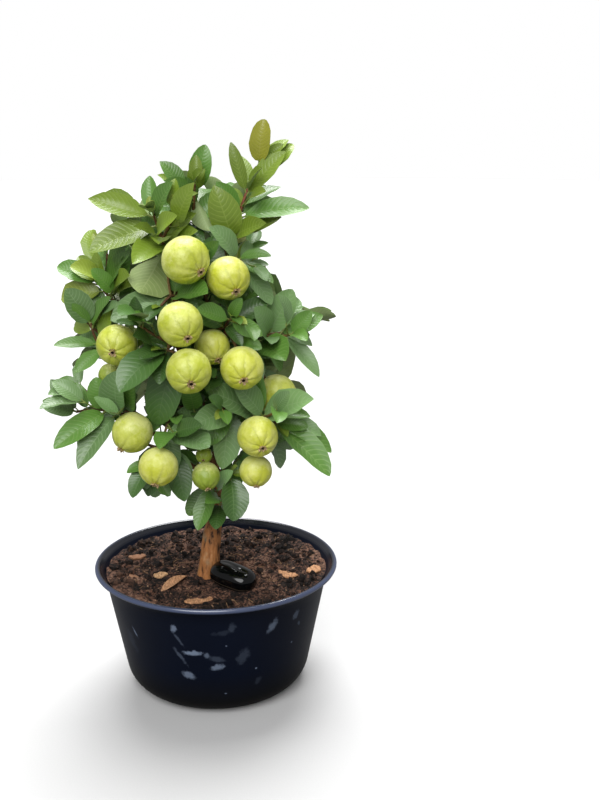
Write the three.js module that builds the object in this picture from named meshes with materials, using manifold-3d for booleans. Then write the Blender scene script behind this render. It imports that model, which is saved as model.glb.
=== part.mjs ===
// A guava tree in a shallow round plastic pot, with its fruit, soil, a polished stone and a few bark chips.
// Millimetres, +Z up. The origin is the centre of the pot's flat underside, and the tree's front faces -Y.
import * as THREE from "three";
import { mergeVertices } from "three/addons/utils/BufferGeometryUtils.js";
import Module from "manifold-3d";

const wasm = await Module();
wasm.setup();

const { clamp, degToRad, lerp, smoothstep } = THREE.MathUtils;
const vec = (x, y, z) => new THREE.Vector3(x, y, z);
const UP = vec(0, 0, 1);

// ---- driving dimensions -------------------------------------------------------------------------

const clearance = 0.3; // between two pieces that rest on each other

const pot = {
  height: 95,
  rimRadius: 90.4,
  neckRadius: 82.4, // top of the straight wall, just under the flared neck
  neckHeight: 10,
  footRadius: 65.2, // where the straight wall would meet the ground
  cornerRadius: 21.8,
  lipRadius: 1.9,
  wall: 2,
  drainHoles: 5,
  drainRadius: 4,
  drainCircle: 30,
  cornerSteps: 4,
  sides: 36,
};

const soil = {
  edgeHeight: 87.5,
  crown: 3.5, // how much higher its middle is
  roughness: 0.9,
  level: [16, 30], // it is level up to the first distance from the trunk, and lumpy past the second
  rings: [70, 56, 42, 28, 14],
  sides: 24,
  cornerSteps: 3,
};

// Height above the soil, place and radius at each station of the trunk, which runs on as the left leader.
const trunk = {
  ground: soil.edgeHeight + soil.crown,
  stations: [
    { up: 0, x: -6, y: -20, radius: 8 },
    { up: 3, x: -5.8, y: -19.8, radius: 7.5 },
    { up: 14, x: -5, y: -19, radius: 7.2 },
    { up: 27, x: -3.2, y: -17.5, radius: 6.9 },
    { up: 40, x: -1, y: -15, radius: 5.5 },
    { up: 56, x: 0.6, y: -12, radius: 4.7 },
    { up: 88, x: -2, y: -8, radius: 4.2 },
    { up: 122, x: -9, y: -6, radius: 3.6 },
    { up: 162, x: -17, y: -8, radius: 3 },
    { up: 206, x: -23, y: -10, radius: 2.3 },
    { up: 232, x: -30, y: -9, radius: 1.8 },
  ],
  flareHeight: 16,
  unevenness: 0.05, // how far its section is from round, over its radius
  ridges: 0.1, // how far the main roots' ridges stand out at its foot, over its radius
  sides: 10,
  steps: 14,
};

// Boughs: the limb each one leaves, how high, where it ends, its radii and how far its middle sags.
const boughs = [
  { name: "right_leader", from: "trunk", height: 168, to: [16, -10, 331], radii: [3.4, 1.7], sag: -6 },
  { name: "top_middle", from: "right_leader", height: 296, to: [-10, 0, 342], radii: [1.7, 1.4], sag: 0 },
  { name: "upper_left", from: "trunk", height: 262, to: [-69, -8, 294], radii: [2.2, 1.4], sag: 3 },
  { name: "mid_left", from: "trunk", height: 232, to: [-74, -14, 259], radii: [2.4, 1.4], sag: 3 },
  { name: "low_left", from: "trunk", height: 186, to: [-63, -28, 216], radii: [2.6, 1.6], sag: 2 },
  { name: "bottom_left", from: "trunk", height: 164, to: [-26, -34, 191], radii: [2, 1.3], sag: 1 },
  { name: "bottom_front", from: "trunk", height: 148, to: [-1, -26, 160], radii: [1.9, 1.3], sag: 1 },
  { name: "low_right", from: "right_leader", height: 186, to: [29, -36, 213], radii: [2.6, 1.6], sag: 2 },
  { name: "mid_right", from: "right_leader", height: 234, to: [30, -14, 262], radii: [2.2, 1.4], sag: 3 },
  { name: "upper_right", from: "right_leader", height: 300, to: [17, -20, 321], radii: [1.7, 1.3], sag: 1 },
  { name: "upper_front", from: "trunk", height: 276, to: [-25, -30, 298], radii: [1.8, 1.3], sag: 1 },
  { name: "front", from: "trunk", height: 244, to: [-24, -36, 266], radii: [2, 1.4], sag: 1 },
  { name: "front_right", from: "right_leader", height: 252, to: [9, -32, 276], radii: [1.8, 1.3], sag: 1 },
  { name: "low_front", from: "trunk", height: 206, to: [8, -32, 225], radii: [2, 1.4], sag: 1 },
  { name: "low_mid", from: "trunk", height: 198, to: [-23, -34, 224], radii: [2, 1.4], sag: 1 },
  { name: "heart_low", from: "trunk", height: 216, to: [-6, -24, 236], radii: [1.9, 1.4], sag: 0 },
  { name: "heart_high", from: "right_leader", height: 272, to: [-2, -22, 292], radii: [1.7, 1.3], sag: 0 },
  { name: "back_top", from: "right_leader", height: 305, to: [8, 16, 334], radii: [1.6, 1.3], sag: 2 },
  { name: "back_upper", from: "trunk", height: 268, to: [-28, 18, 298], radii: [1.9, 1.4], sag: 2 },
  { name: "back_left", from: "trunk", height: 216, to: [-54, 16, 244], radii: [2.3, 1.5], sag: 3 },
  { name: "back_right", from: "right_leader", height: 244, to: [42, 16, 264], radii: [1.9, 1.4], sag: 3 },
  { name: "back_middle", from: "trunk", height: 226, to: [0, 26, 254], radii: [2.2, 1.5], sag: 3 },
  { name: "back_low", from: "trunk", height: 176, to: [-18, 26, 198], radii: [2.4, 1.5], sag: 2 },
  { name: "back_low_right", from: "right_leader", height: 200, to: [36, 18, 216], radii: [2, 1.5], sag: 2 },
];

// Masses of foliage: the limb that carries each one, where its stem ends, which way its leaves face in
// degrees round from the front, its side shoots, the pairs of leaves on each shoot, the length of the
// largest, and the seed of its rule. Its reach is where the tips of the leaves that shape its outline
// come to, and how far up the stem each one starts.
const masses = [
  {
    name: "top_right", on: "right_leader", tip: [35, -5, 387], face: 0,
    sideShoots: 0, pairs: 4, leaf: 30, seed: 11,
    reach: [
      { from: 0.97, to: [38, -9, 416], wide: 0.46 },
      { from: 0.93, to: [55, 2, 402], wide: 0.42 },
      { from: 0.62, to: [52, -14, 395], wide: 0.36 },
      { from: 0.66, to: [15, -9, 401], wide: 0.26 },
      { from: 0.5, to: [50, 2, 370] },
      { from: 0.36, to: [67, -14, 366], wide: 0.34 },
      { from: 0.14, to: [49, -18, 351] },
      { from: 0.34, to: [16, 8, 369] },
      { from: 0.04, to: [3, -18, 373], wide: 0.5 },
    ],
  },
  {
    name: "top_middle", on: "top_middle", tip: [-8, 4, 368], face: 0,
    sideShoots: 1, pairs: 3, leaf: 32, seed: 12,
    reach: [
      { from: 0.97, to: [-2, 0, 399] },
      { from: 0.85, to: [-4, -17, 341], under: true },
      { from: 0.8, to: [-34, 6, 378] },
      { from: 0.5, to: [-29, 2, 364] },
    ],
  },
  {
    name: "top_left", on: "trunk", tip: [-38, -20, 354], face: -15,
    sideShoots: 1, pairs: 2, leaf: 36, seed: 13,
    reach: [
      { from: 0.92, to: [-82, -14, 364], wide: 0.32 },
      { from: 0.75, to: [-81, -34, 330], wide: 0.44 },
      { from: 0.95, to: [-40, -12, 379] },
      { from: 0.85, to: [-24, -30, 376] },
      { from: 0.3, to: [-62, -44, 328] },
      { from: 0.2, to: [-42, -52, 305], wide: 0.62, under: true },
      { from: 0.35, to: [-9, -28, 355] },
    ],
  },
  {
    name: "upper_left", on: "upper_left", tip: [-78, -6, 307], face: -35,
    sideShoots: 1, pairs: 3, leaf: 36, seed: 14,
    reach: [
      { from: 0.9, to: [-107, 2, 316] },
      { from: 0.95, to: [-93, 10, 322], wide: 0.4 },
      { from: 0.8, to: [-78, -10, 328] },
      { from: 0.35, to: [-54, -22, 329] },
      { from: 0.5, to: [-106, 8, 293] },
      { from: 0.08, to: [-48, -24, 307] },
    ],
  },
  {
    name: "mid_left", on: "mid_left", tip: [-84, -14, 279], face: -25,
    sideShoots: 1, pairs: 2, leaf: 32, seed: 15,
    reach: [
      { from: 0.95, to: [-99, -20, 304], wide: 0.6 },
      { from: 0.8, to: [-97, 0, 274] },
      { from: 0.85, to: [-68, -24, 298] },
      { from: 0.35, to: [-109, -22, 265], wide: 0.34 },
      { from: 0.15, to: [-95, -28, 247] },
    ],
  },
  {
    name: "low_left", on: "low_left", tip: [-95, -32, 220], face: -20,
    sideShoots: 1, pairs: 2, leaf: 36, seed: 16,
    reach: [
      { from: 0.97, to: [-117, -34, 229] },
      { from: 0.95, to: [-112, -26, 242] },
      { from: 0.8, to: [-95, -24, 239] },
      { from: 0.45, to: [-80, -34, 245], wide: 0.6 },
      { from: 0.4, to: [-108, -56, 201], wide: 0.36 },
      { from: 0.15, to: [-87, -62, 186], wide: 0.34 },
      { from: 0.2, to: [-52, -34, 232] },
      { from: 0.05, to: [-66, -24, 237], wide: 0.5 },
      { from: 0.1, to: [-50, -14, 239] },
    ],
  },
  {
    name: "bottom_left", on: "bottom_left", tip: [-45, -42, 183], face: -10,
    sideShoots: 1, pairs: 1, leaf: 30, seed: 17,
    reach: [
      { from: 0.95, to: [-57, -54, 164] },
      { from: 0.6, to: [-47, -46, 162] },
      { from: 0.3, to: [-34, -50, 158] },
      { from: 0.1, to: [-20, -44, 170] },
      { from: 0.02, to: [-12, -34, 182] },
    ],
  },
  {
    name: "bottom_front", on: "bottom_front", tip: [11, -40, 175], face: 5,
    sideShoots: 1, pairs: 1, leaf: 30, seed: 18,
    reach: [
      { from: 0.97, to: [12, -54, 145], wide: 0.6 },
      { from: 0.25, to: [-13, -44, 135], wide: 0.42 },
      { from: 0.15, to: [-20, -32, 142] },
      { from: 0.8, to: [33, -30, 180] },
    ],
  },
  {
    name: "low_right", on: "low_right", tip: [43, -44, 212], face: 15,
    sideShoots: 1, pairs: 2, leaf: 38, seed: 19,
    reach: [
      { from: 0.35, to: [67, -64, 231], wide: 0.52 },
      { from: 0.9, to: [78, -66, 180] },
      { from: 0.95, to: [82, -40, 189] },
      { from: 0.5, to: [57, -28, 190] },
      { from: 0.4, to: [47, -30, 175] },
      { from: 0.1, to: [-5, -56, 239] },
    ],
  },
  {
    name: "mid_right", on: "mid_right", tip: [50, -16, 270], face: 20,
    sideShoots: 1, pairs: 2, leaf: 36, seed: 20,
    reach: [
      { from: 0.85, to: [78, -14, 282] },
      { from: 0.6, to: [56, -22, 302] },
      { from: 0.97, to: [74, -30, 241], wide: 0.3 },
      { from: 0.2, to: [56, -46, 259], wide: 0.56 },
      { from: 0.35, to: [47, -24, 244] },
      { from: 0.5, to: [63, 6, 290] },
    ],
  },
  {
    name: "upper_right", on: "upper_right", tip: [27, -18, 316], face: 10,
    sideShoots: 0, pairs: 2, leaf: 30, seed: 21,
    reach: [
      { from: 0.35, to: [41, -30, 326], wide: 0.38 },
      { from: 0.9, to: [40, -14, 318] },
      { from: 0.3, to: [42, -34, 308] },
      { from: 0.1, to: [34, -32, 289] },
    ],
  },
  {
    name: "upper_front", on: "upper_front", tip: [-34, -44, 295], face: -10,
    sideShoots: 0, pairs: 2, leaf: 34, seed: 24,
    reach: [
      { from: 0.3, to: [-67, -50, 287] },
      { from: 0.1, to: [1, -60, 312] },
      { from: 0.5, to: [-55, -36, 301] },
    ],
  },
  {
    name: "front", on: "front", tip: [-31, -52, 266], face: -10,
    sideShoots: 1, pairs: 1, leaf: 38, seed: 22,
    reach: [
      { from: 0.9, to: [-65, -70, 246], wide: 0.54 },
      { from: 0.3, to: [-44, -44, 215] },
      { from: 0.7, to: [-57, -44, 264] },
    ],
  },
  {
    name: "front_right", on: "front_right", tip: [13, -44, 286], face: 10,
    sideShoots: 0, pairs: 2, leaf: 32, seed: 31,
    reach: [
      { from: 0.9, to: [-10, -56, 295] },
      { from: 0.8, to: [34, -44, 274] },
      { from: 0.3, to: [20, -50, 268] },
    ],
  },
  {
    name: "low_front", on: "low_front", tip: [15, -44, 221], face: 5,
    sideShoots: 1, pairs: 1, leaf: 34, seed: 23,
    reach: [
      { from: 0.95, to: [-15, -66, 218] },
      { from: 0.5, to: [-4, -50, 199] },
      { from: 0.3, to: [5, -48, 181] },
    ],
  },
  {
    name: "low_mid", on: "low_mid", tip: [-34, -48, 207], face: -5,
    sideShoots: 0, pairs: 1, leaf: 34, seed: 32,
    reach: [
      { from: 0.9, to: [-3, -70, 204], wide: 0.56 },
      { from: 0.4, to: [-18, -30, 224] },
      { from: 0.6, to: [-52, -30, 201] },
    ],
  },
  {
    name: "heart_low", on: "heart_low", tip: [2, -34, 256], face: 0,
    sideShoots: 2, pairs: 3, leaf: 34, seed: 41,
    reach: [],
  },
  {
    name: "heart_high", on: "heart_high", tip: [-6, -30, 322], face: 0,
    sideShoots: 2, pairs: 3, leaf: 34, seed: 42,
    reach: [],
  },
  {
    name: "back_top", on: "back_top", tip: [10, 32, 352], face: 175,
    sideShoots: 2, pairs: 3, leaf: 38, seed: 25,
    reach: [],
  },
  {
    name: "back_upper", on: "back_upper", tip: [-44, 36, 322], face: 205,
    sideShoots: 2, pairs: 3, leaf: 38, seed: 26,
    reach: [],
  },
  {
    name: "back_left", on: "back_left", tip: [-80, 34, 260], face: 235,
    sideShoots: 2, pairs: 3, leaf: 40, seed: 27,
    reach: [],
  },
  {
    name: "back_right", on: "back_right", tip: [54, 34, 274], face: 130,
    sideShoots: 2, pairs: 3, leaf: 38, seed: 28,
    reach: [],
  },
  {
    name: "back_middle", on: "back_middle", tip: [4, 54, 276], face: 180,
    sideShoots: 2, pairs: 3, leaf: 40, seed: 33,
    reach: [],
  },
  {
    name: "back_low", on: "back_low", tip: [-28, 52, 212], face: 195,
    sideShoots: 2, pairs: 3, leaf: 40, seed: 29,
    reach: [],
  },
  {
    name: "back_low_right", on: "back_low_right", tip: [52, 40, 226], face: 140,
    sideShoots: 2, pairs: 3, leaf: 40, seed: 30,
    reach: [],
  },
];

// Fruit: the mass that bears each one, its centre, its width, and how far its eye is turned to the right
// and down.
const fruits = [
  { on: "upper_front", at: [-16.6, -50, 326.6], wide: 32, right: 0.62, down: 0.41 },
  { on: "upper_front", at: [-35.2, -14, 307.5], wide: 17, right: 0.33, down: 0.71, shaded: true },
  { on: "upper_right", at: [11.4, -42, 313.2], wide: 29.2, right: 0.32, down: 0.49 },
  { on: "front", at: [-20.6, -71, 287.8], wide: 29.6, right: 0.32, down: 0.45 },
  { on: "front", at: [-15.7, -78, 258.2], wide: 29.6, right: 0.11, down: 0.35 },
  { on: "front_right", at: [-0.2, -40, 265.9], wide: 24.5, right: 0.3, down: 0.55 },
  { on: "front_right", at: [19.4, -60, 255.5], wide: 29, right: 0.04, down: 0.35 },
  { on: "mid_right", at: [44.6, -25, 228.2], wide: 27.6, right: 0.56, down: 0.45, shaded: true },
  { on: "mid_left", at: [-63.8, -45, 269.4], wide: 27.8, right: -0.14, down: 0.17 },
  { on: "mid_left", at: [-70.4, -30, 245.3], wide: 16.5, right: -0.24, down: 0.66, shaded: true },
  { on: "low_right", at: [29.3, -62, 208.4], wide: 27.7, right: 0.19, down: 0.31 },
  { on: "low_right", at: [28.1, -52, 180.7], wide: 22.6, right: -0.02, down: 0.81 },
  { on: "low_left", at: [-55.4, -50, 209.6], wide: 27.6, right: -0.55, down: 0.73 },
  { on: "low_mid", at: [-37.4, -74, 192.4], wide: 26.4, right: -0.17, down: 0.77 },
  { on: "bottom_front", at: [-6.2, -54, 178.5], wide: 19.3, right: 0.11, down: 0.72 },
  { on: "bottom_front", at: [-7.3, -48, 191.7], wide: 11.5, right: -0.09, down: 0.34, shaded: true },
  { on: "back_top", at: [18, 42, 322], wide: 28, right: 0.3, down: 0.7 },
  { on: "back_upper", at: [-26, 50, 292], wide: 29, right: -0.2, down: 0.6 },
  { on: "back_left", at: [-62, 48, 236], wide: 28, right: -0.4, down: 0.6 },
  { on: "back_right", at: [50, 50, 252], wide: 27, right: 0.4, down: 0.6 },
  { on: "back_middle", at: [12, 62, 248], wide: 29, right: 0.1, down: 0.6 },
  { on: "back_low", at: [-18, 60, 188], wide: 27, right: -0.2, down: 0.8 },
  { on: "back_low_right", at: [44, 48, 198], wide: 26, right: 0.3, down: 0.8 },
];

// How twigs and leaves grow.
const growth = {
  boughBow: 0.12, // how far a bough's middle bows outwards, over its span
  stemKnee: 0.4, // how far a stem keeps its bough's heading, over its length
  twigRadius: 1.4,
  tipRadius: 0.9,
  shootAngle: degToRad(42), // between a side shoot and its stem
  shootShare: 0.7, // a side shoot's length over its stem's
  shootRise: 0.15, // how far its end lifts, over its length
  shootSize: 0.85, // its leaves' length over the stem's leaves'
  shootPlay: 1.2, // how far it is turned about the stem at random, in radians
  samples: 10, // points along a twig where its distance from other things is tried
  firstSample: 3, // the first of them that counts, past its root
  twigGap: 4.5, // between the middles of two twigs
  stalkGap: 3.2, // and between a stalk's middle and a twig's
  firstPair: 0.12, // how far along a shoot its lowest pair of leaves stands
  lastPair: 0.985, // and its highest
  tipShrink: 0.35, // how much shorter the highest pair is
  lowSpread: degToRad(70), // between a leaf and its shoot, at the lowest pair
  tipSpread: degToRad(32), // and at the tip
  spreadPlay: 0.3, // how far that angle varies at random, in radians
  cross: degToRad(38), // how far pairs stand out of the plane that faces the light, by turns to either side
  crossPlay: 0.5, // how far that angle varies at random, in radians
  sideLight: 1.1, // how far the light comes from the side, against from above
  roll: degToRad(20), // the most that a face is turned at random
  lengths: [0.85, 1.15], // the least and greatest share of a leaf's usual length
  widths: [0.86, 1.14], // of its usual width
  curls: [0.4, 1.6], // and of its usual curl
  turns: [0, 20, -20, 40, -40, 60, -60].map(degToRad), // tried by a leaf that meets something
  reachTurns: [0, 7, -7, 14, -14, 21, -21].map(degToRad), // and by one that shapes the outline
  lowest: pot.height + 5, // no leaf reaches lower
};

// Where the sky shows between the leaves, seen from an eye 800 mm in front: the middle of each gap in the
// plane through the pot's middle, and its radius.
const skyEye = vec(0, -800, 425.6);
const skyGaps = [
  { x: 75, z: 304, radius: 21 },
  { x: 53, z: 311, radius: 13 },
  { x: 60, z: 347, radius: 14 },
  { x: 45, z: 375, radius: 6 },
  { x: 28, z: 396, radius: 6 },
  { x: 12, z: 380, radius: 9 },
  { x: -20, z: 392, radius: 11 },
  { x: -53, z: 364, radius: 7 },
  { x: -98, z: 332, radius: 14 },
  { x: -102, z: 306, radius: 7 },
  { x: -108, z: 282, radius: 12 },
  { x: -96, z: 257, radius: 7 },
  { x: -110, z: 247, radius: 13 },
  { x: -116, z: 207, radius: 8 },
  { x: 57, z: 172, radius: 9 },
  { x: 64, z: 238, radius: 13 },
  { x: 75, z: 224, radius: 12 },
  { x: 77, z: 266, radius: 10 },
  { x: 79, z: 210, radius: 10 },
  { x: 80, z: 199, radius: 7 },
  { x: 58, z: 384, radius: 8 },
  { x: -99, z: 270, radius: 6 },
  { x: 30, z: 139, radius: 7 },
];

const leafForm = {
  longest: 60, // two leaves whose middles are further apart can't meet
  widthShare: 0.46, // blade width over leaf length
  thickness: 1, // at the midrib
  petiole: 0.1, // share of the length before the blade starts
  sunk: 0.6, // how far past the twig's axis the root starts
  bluntness: 0.72, // 1 gives a parabola, and lower values rounder ends
  curl: degToRad(38), // how far the tip bends back
  fold: 0.16, // how far the halves rise from the midrib
  stations: [0, 0.28, 0.72, 1], // share of the length at each ring of the blade
};

const fruitForm = {
  sides: 8,
  rings: 7,
  stalkRadius: 1.1,
  eyeRadius: 0.13, // over the fruit's radius
  eyeFlare: 1.4, // how much wider the eye's open end is
  eyeDepth: 2,
  clear: 1.2, // between a fruit and a leaf
};

const sides = { bough: 5, boughSteps: 4, twig: 3, twigSteps: 3, stalkSteps: 2 };
// A mass's small edges are dropped where that moves no face further than the first of these distances, or the
// next where the first would leave two folds of its skin touching.
const trims = [0.15, 0.1, 0.06, 0.03, 0.01, 0];
const weld = 1e4; // two points that agree to a ten-thousandth of a millimetre count as one

// The stone's place on the soil, its length, width and height, how it is turned and tilted, and how deep
// it lies.
const stone = {
  at: { x: 11.8, y: -38 },
  size: [34, 20.5, 14.5],
  turn: degToRad(-36),
  tilt: degToRad(-8),
  sunk: 2.5,
};

// Chips of bark on the soil: centre, length, width and turn of each one.
const chips = [
  { x: -41.5, y: -19, long: 10, wide: 8, turn: 20 },
  { x: -32, y: -38, long: 24, wide: 8, turn: 52 },
  { x: -13, y: -62, long: 20, wide: 8, turn: 14 },
  { x: 52, y: -22, long: 15, wide: 9, turn: -40 },
  { x: 71, y: -16, long: 12, wide: 9, turn: 60 },
  { x: -60, y: 20, long: 14, wide: 8, turn: 10 },
  { x: -61, y: -16, long: 9, wide: 6, turn: -30 },
];
const chipForm = { thickness: 1.6, sunk: 0.7, sides: 6 };

// ---- small tools --------------------------------------------------------------------------------

// A repeatable stream of numbers from 0 to 1.
function randomFrom(seed) {
  let state = Math.imul(seed, 2654435761) >>> 0;
  return () => {
    state = (Math.imul(state, 1664525) + 1013904223) >>> 0;
    return state / 4294967296;
  };
}

// A closed mesh as a solid that can be joined and cut.
function solidOf(geometry) {
  const bare = geometry.index ? geometry.toNonIndexed() : geometry.clone();
  bare.deleteAttribute("normal");
  bare.deleteAttribute("uv");
  const merged = mergeVertices(bare, 1e-4);
  const triVerts = new Uint32Array(merged.index.array);
  return new wasm.Manifold(
    new wasm.Mesh({ numProp: 3, vertProperties: merged.attributes.position.array, triVerts }),
  );
}

function geometryOf(solid) {
  const { numProp, vertProperties, triVerts } = solid.getMesh();
  const positions = new Float32Array((vertProperties.length / numProp) * 3);
  for (let i = 0; i < positions.length / 3; i++)
    positions.set(vertProperties.subarray(i * numProp, i * numProp + 3), i * 3);
  const geometry = new THREE.BufferGeometry();
  geometry.setAttribute("position", new THREE.BufferAttribute(positions, 3));
  geometry.setIndex(new THREE.BufferAttribute(triVerts, 1));
  geometry.computeVertexNormals();
  return geometry;
}

// Moves every vertex of a geometry to where place(x, y, z) puts it.
function shaped(geometry, place) {
  const position = geometry.attributes.position;
  for (let i = 0; i < position.count; i++) {
    const p = place(position.getX(i), position.getY(i), position.getZ(i));
    position.setXYZ(i, p.x, p.y, p.z);
  }
  return geometry;
}

const perpendicular = (direction, towards) =>
  towards.clone().addScaledVector(direction, -towards.dot(direction)).normalize();

// A round limb along a curve, from one radius to the other, with closed flat ends.
function limbGeometry(curve, radii, sides, steps) {
  const bar = new THREE.CylinderGeometry(1, 1, 1, sides, steps);
  const chord = curve.getPoint(1).sub(curve.getPoint(0)).normalize();
  const level = Math.abs(chord.z) > 0.7 ? vec(1, 0, 0) : UP;
  return shaped(bar, (x, y, z) => {
    const t = y + 0.5;
    const tangent = curve.getTangent(t);
    const across = perpendicular(tangent, level);
    const other = across.clone().cross(tangent);
    const radius = lerp(radii[0], radii[1], t);
    return curve.getPoint(t).addScaledVector(across, x * radius).addScaledVector(other, z * radius);
  });
}

// ---- the tree's skeleton ------------------------------------------------------------------------

const limbs = new Map(); // name -> { curve, radii }, for the trunk and the boughs

function trunkCurve() {
  const { stations, ground } = trunk;
  return new THREE.CatmullRomCurve3(stations.map((s) => vec(s.x, s.y, ground + clearance + s.up)));
}

// The share of a limb's curve at which it reaches a height. Every limb rises all the way.
function shareAtHeight(curve, height) {
  let low = 0;
  let high = 1;
  for (let i = 0; i < 30; i++) {
    const middle = (low + high) / 2;
    if (curve.getPoint(middle).z < height) low = middle;
    else high = middle;
  }
  return low;
}

function growSkeleton() {
  limbs.set("trunk", { curve: trunkCurve() });
  for (const bough of boughs) {
    const parent = limbs.get(bough.from).curve;
    const foot = parent.getPoint(shareAtHeight(parent, bough.height));
    const tip = vec(...bough.to);
    const outward = vec(tip.x - foot.x, tip.y - foot.y, 0).multiplyScalar(growth.boughBow);
    const middle = foot.clone().lerp(tip, 0.5).addScaledVector(UP, -bough.sag).add(outward);
    const curve = new THREE.CatmullRomCurve3([foot, middle, tip]);
    limbs.set(bough.name, { curve, radii: bough.radii });
  }
}

// The radius of a limb a share of the way along it.
function limbRadius(name, share) {
  if (name !== "trunk") return lerp(...limbs.get(name).radii, share);
  const place = share * (trunk.stations.length - 1);
  const low = Math.min(Math.floor(place), trunk.stations.length - 2);
  return lerp(trunk.stations[low].radius, trunk.stations[low + 1].radius, place - low);
}

const ray = new THREE.Ray();
const line = new THREE.Line3();
const hit = vec(0, 0, 0);

// ---- the rule that the foliage grows by ----------------------------------------------------------

// The way that a mass's leaves turn their faces.
function lightOn(mass) {
  const turn = degToRad(mass.face);
  return vec(Math.sin(turn), -Math.cos(turn), 0).multiplyScalar(growth.sideLight).add(UP).normalize();
}

// A mass's stem, which starts clear of the limb's tip and bends to its own.
function growStem(mass) {
  const limb = limbs.get(mass.on).curve;
  const heading = limb.getTangent(1);
  const foot = limb.getPoint(1).addScaledVector(heading, clearance);
  const tip = vec(...mass.tip);
  const knee = foot.clone().addScaledVector(heading, foot.distanceTo(tip) * growth.stemKnee);
  const curve = new THREE.QuadraticBezierCurve3(foot, knee, tip);
  return { curve, radii: [limbRadius(mass.on, 1), growth.tipRadius], size: 1 };
}

// One side shoot of a stem, turned round it from the plane that faces the light.
function sideShoot(mass, share, round) {
  const stem = mass.shoots[0].curve;
  const root = stem.getPoint(share);
  const tangent = stem.getTangent(share);
  const side = tangent.clone().cross(mass.light).normalize().applyAxisAngle(tangent, round);
  const lean = tangent.multiplyScalar(Math.cos(growth.shootAngle));
  const direction = lean.addScaledVector(side, Math.sin(growth.shootAngle)).normalize();
  const reach = Math.max(stem.getLength(), mass.leaf) * growth.shootShare;
  const bend = root.clone().addScaledVector(direction, reach * 0.5);
  const end = root.clone().addScaledVector(direction, reach).addScaledVector(UP, reach * growth.shootRise);
  const curve = new THREE.QuadraticBezierCurve3(root, bend, end);
  return { curve, radii: [growth.twigRadius, growth.tipRadius], size: growth.shootSize };
}

// Side shoots leave the stem by turns to the left and right. One that meets a limb, a twig or a fruit is
// turned about the stem, and left out when no turn clears it.
function growSideShoots(mass, crown) {
  for (let i = 0; i < mass.sideShoots; i++) {
    const share = (i + 0.6 + 0.4 * mass.random()) / (mass.sideShoots + 1);
    const round = i * Math.PI + (mass.random() - 0.5) * growth.shootPlay;
    for (const turn of growth.turns) {
      const shoot = sideShoot(mass, share, round + turn);
      if (!clearOfWood(shoot.curve, crown, growth.twigGap)) continue;
      mass.shoots.push(shoot);
      crown.wood.push(...piecesOf(shoot.curve, growth.samples));
      break;
    }
  }
}

// Whether a new twig, past its root, keeps a gap from all wood that is there already, and from fruit but
// its own.
function clearOfWood(curve, crown, gap, own) {
  for (let i = growth.firstSample; i <= growth.samples; i++) {
    const p = curve.getPoint(i / growth.samples);
    for (const [start, end] of crown.wood) {
      line.set(start, end).closestPointToPoint(p, true, hit);
      if (hit.distanceTo(p) < gap) return false;
    }
    for (const fruit of crown.fruits)
      if (fruit !== own && fruit.centre.distanceTo(p) < fruit.radius + gap / 2) return false;
  }
  return true;
}

// Half the width of a blade, over its greatest, a share of the way along the leaf.
function bladeShare(t) {
  const u = Math.max(t - leafForm.petiole, 0) / (1 - leafForm.petiole);
  return Math.pow(4 * u * (1 - u), leafForm.bluntness);
}

// A point of a leaf: t from root to tip, across from -1 to 1, and a height over its middle surface.
function leafPoint(leaf, t, across, height) {
  const turn = leaf.curl * t;
  const forward = (leaf.length * Math.sin(turn)) / leaf.curl;
  const back = (leaf.length * (1 - Math.cos(turn))) / leaf.curl;
  const half = (leaf.width / 2) * bladeShare(t);
  const level = leaf.normal.clone().multiplyScalar(Math.cos(turn));
  const normal = level.addScaledVector(leaf.along, Math.sin(turn));
  return leaf.root
    .clone()
    .addScaledVector(leaf.along, forward)
    .addScaledVector(leaf.normal, -back)
    .addScaledVector(leaf.side, across * half)
    .addScaledVector(normal, height + leafForm.fold * Math.abs(across) * half);
}

// The net of points that stands for a leaf when it is tested against its neighbours.
const netShares = [0.1, 0.4, 0.7, 1];
function leafNet(leaf) {
  return netShares.map((t) => [-1, 0, 1].map((across) => leafPoint(leaf, t, across, 0)));
}

function netTriangles(net) {
  const triangles = [];
  for (let i = 0; i + 1 < net.length; i++)
    for (let j = 0; j < 2; j++) {
      triangles.push([net[i][j], net[i][j + 1], net[i + 1][j]]);
      triangles.push([net[i + 1][j], net[i][j + 1], net[i + 1][j + 1]]);
    }
  return triangles;
}

function netSegments(net) {
  const segments = [];
  for (let i = 0; i + 1 < net.length; i++)
    for (let j = 0; j < 3; j++) segments.push([net[i][j], net[i + 1][j]]);
  for (let i = 1; i + 1 < net.length; i++)
    for (let j = 0; j < 2; j++) segments.push([net[i][j], net[i][j + 1]]);
  return segments;
}

function crosses([start, end], [a, b, c]) {
  const length = start.distanceTo(end);
  if (length < 1e-6) return false;
  ray.origin.copy(start);
  ray.direction.copy(end).sub(start).divideScalar(length);
  return ray.intersectTriangle(a, b, c, false, hit) !== null && hit.distanceTo(start) <= length;
}

const anyCross = (segments, triangles) => segments.some((s) => triangles.some((t) => crosses(s, t)));

// Whether a point is seen in one of the gaps.
function inSkyGap(point) {
  const seen = point.clone().sub(skyEye);
  seen.multiplyScalar(skyEye.y / (skyEye.y - point.y)).add(skyEye);
  return skyGaps.some(({ x, z, radius }) => Math.hypot(seen.x - x, seen.z - z) < radius);
}

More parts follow.
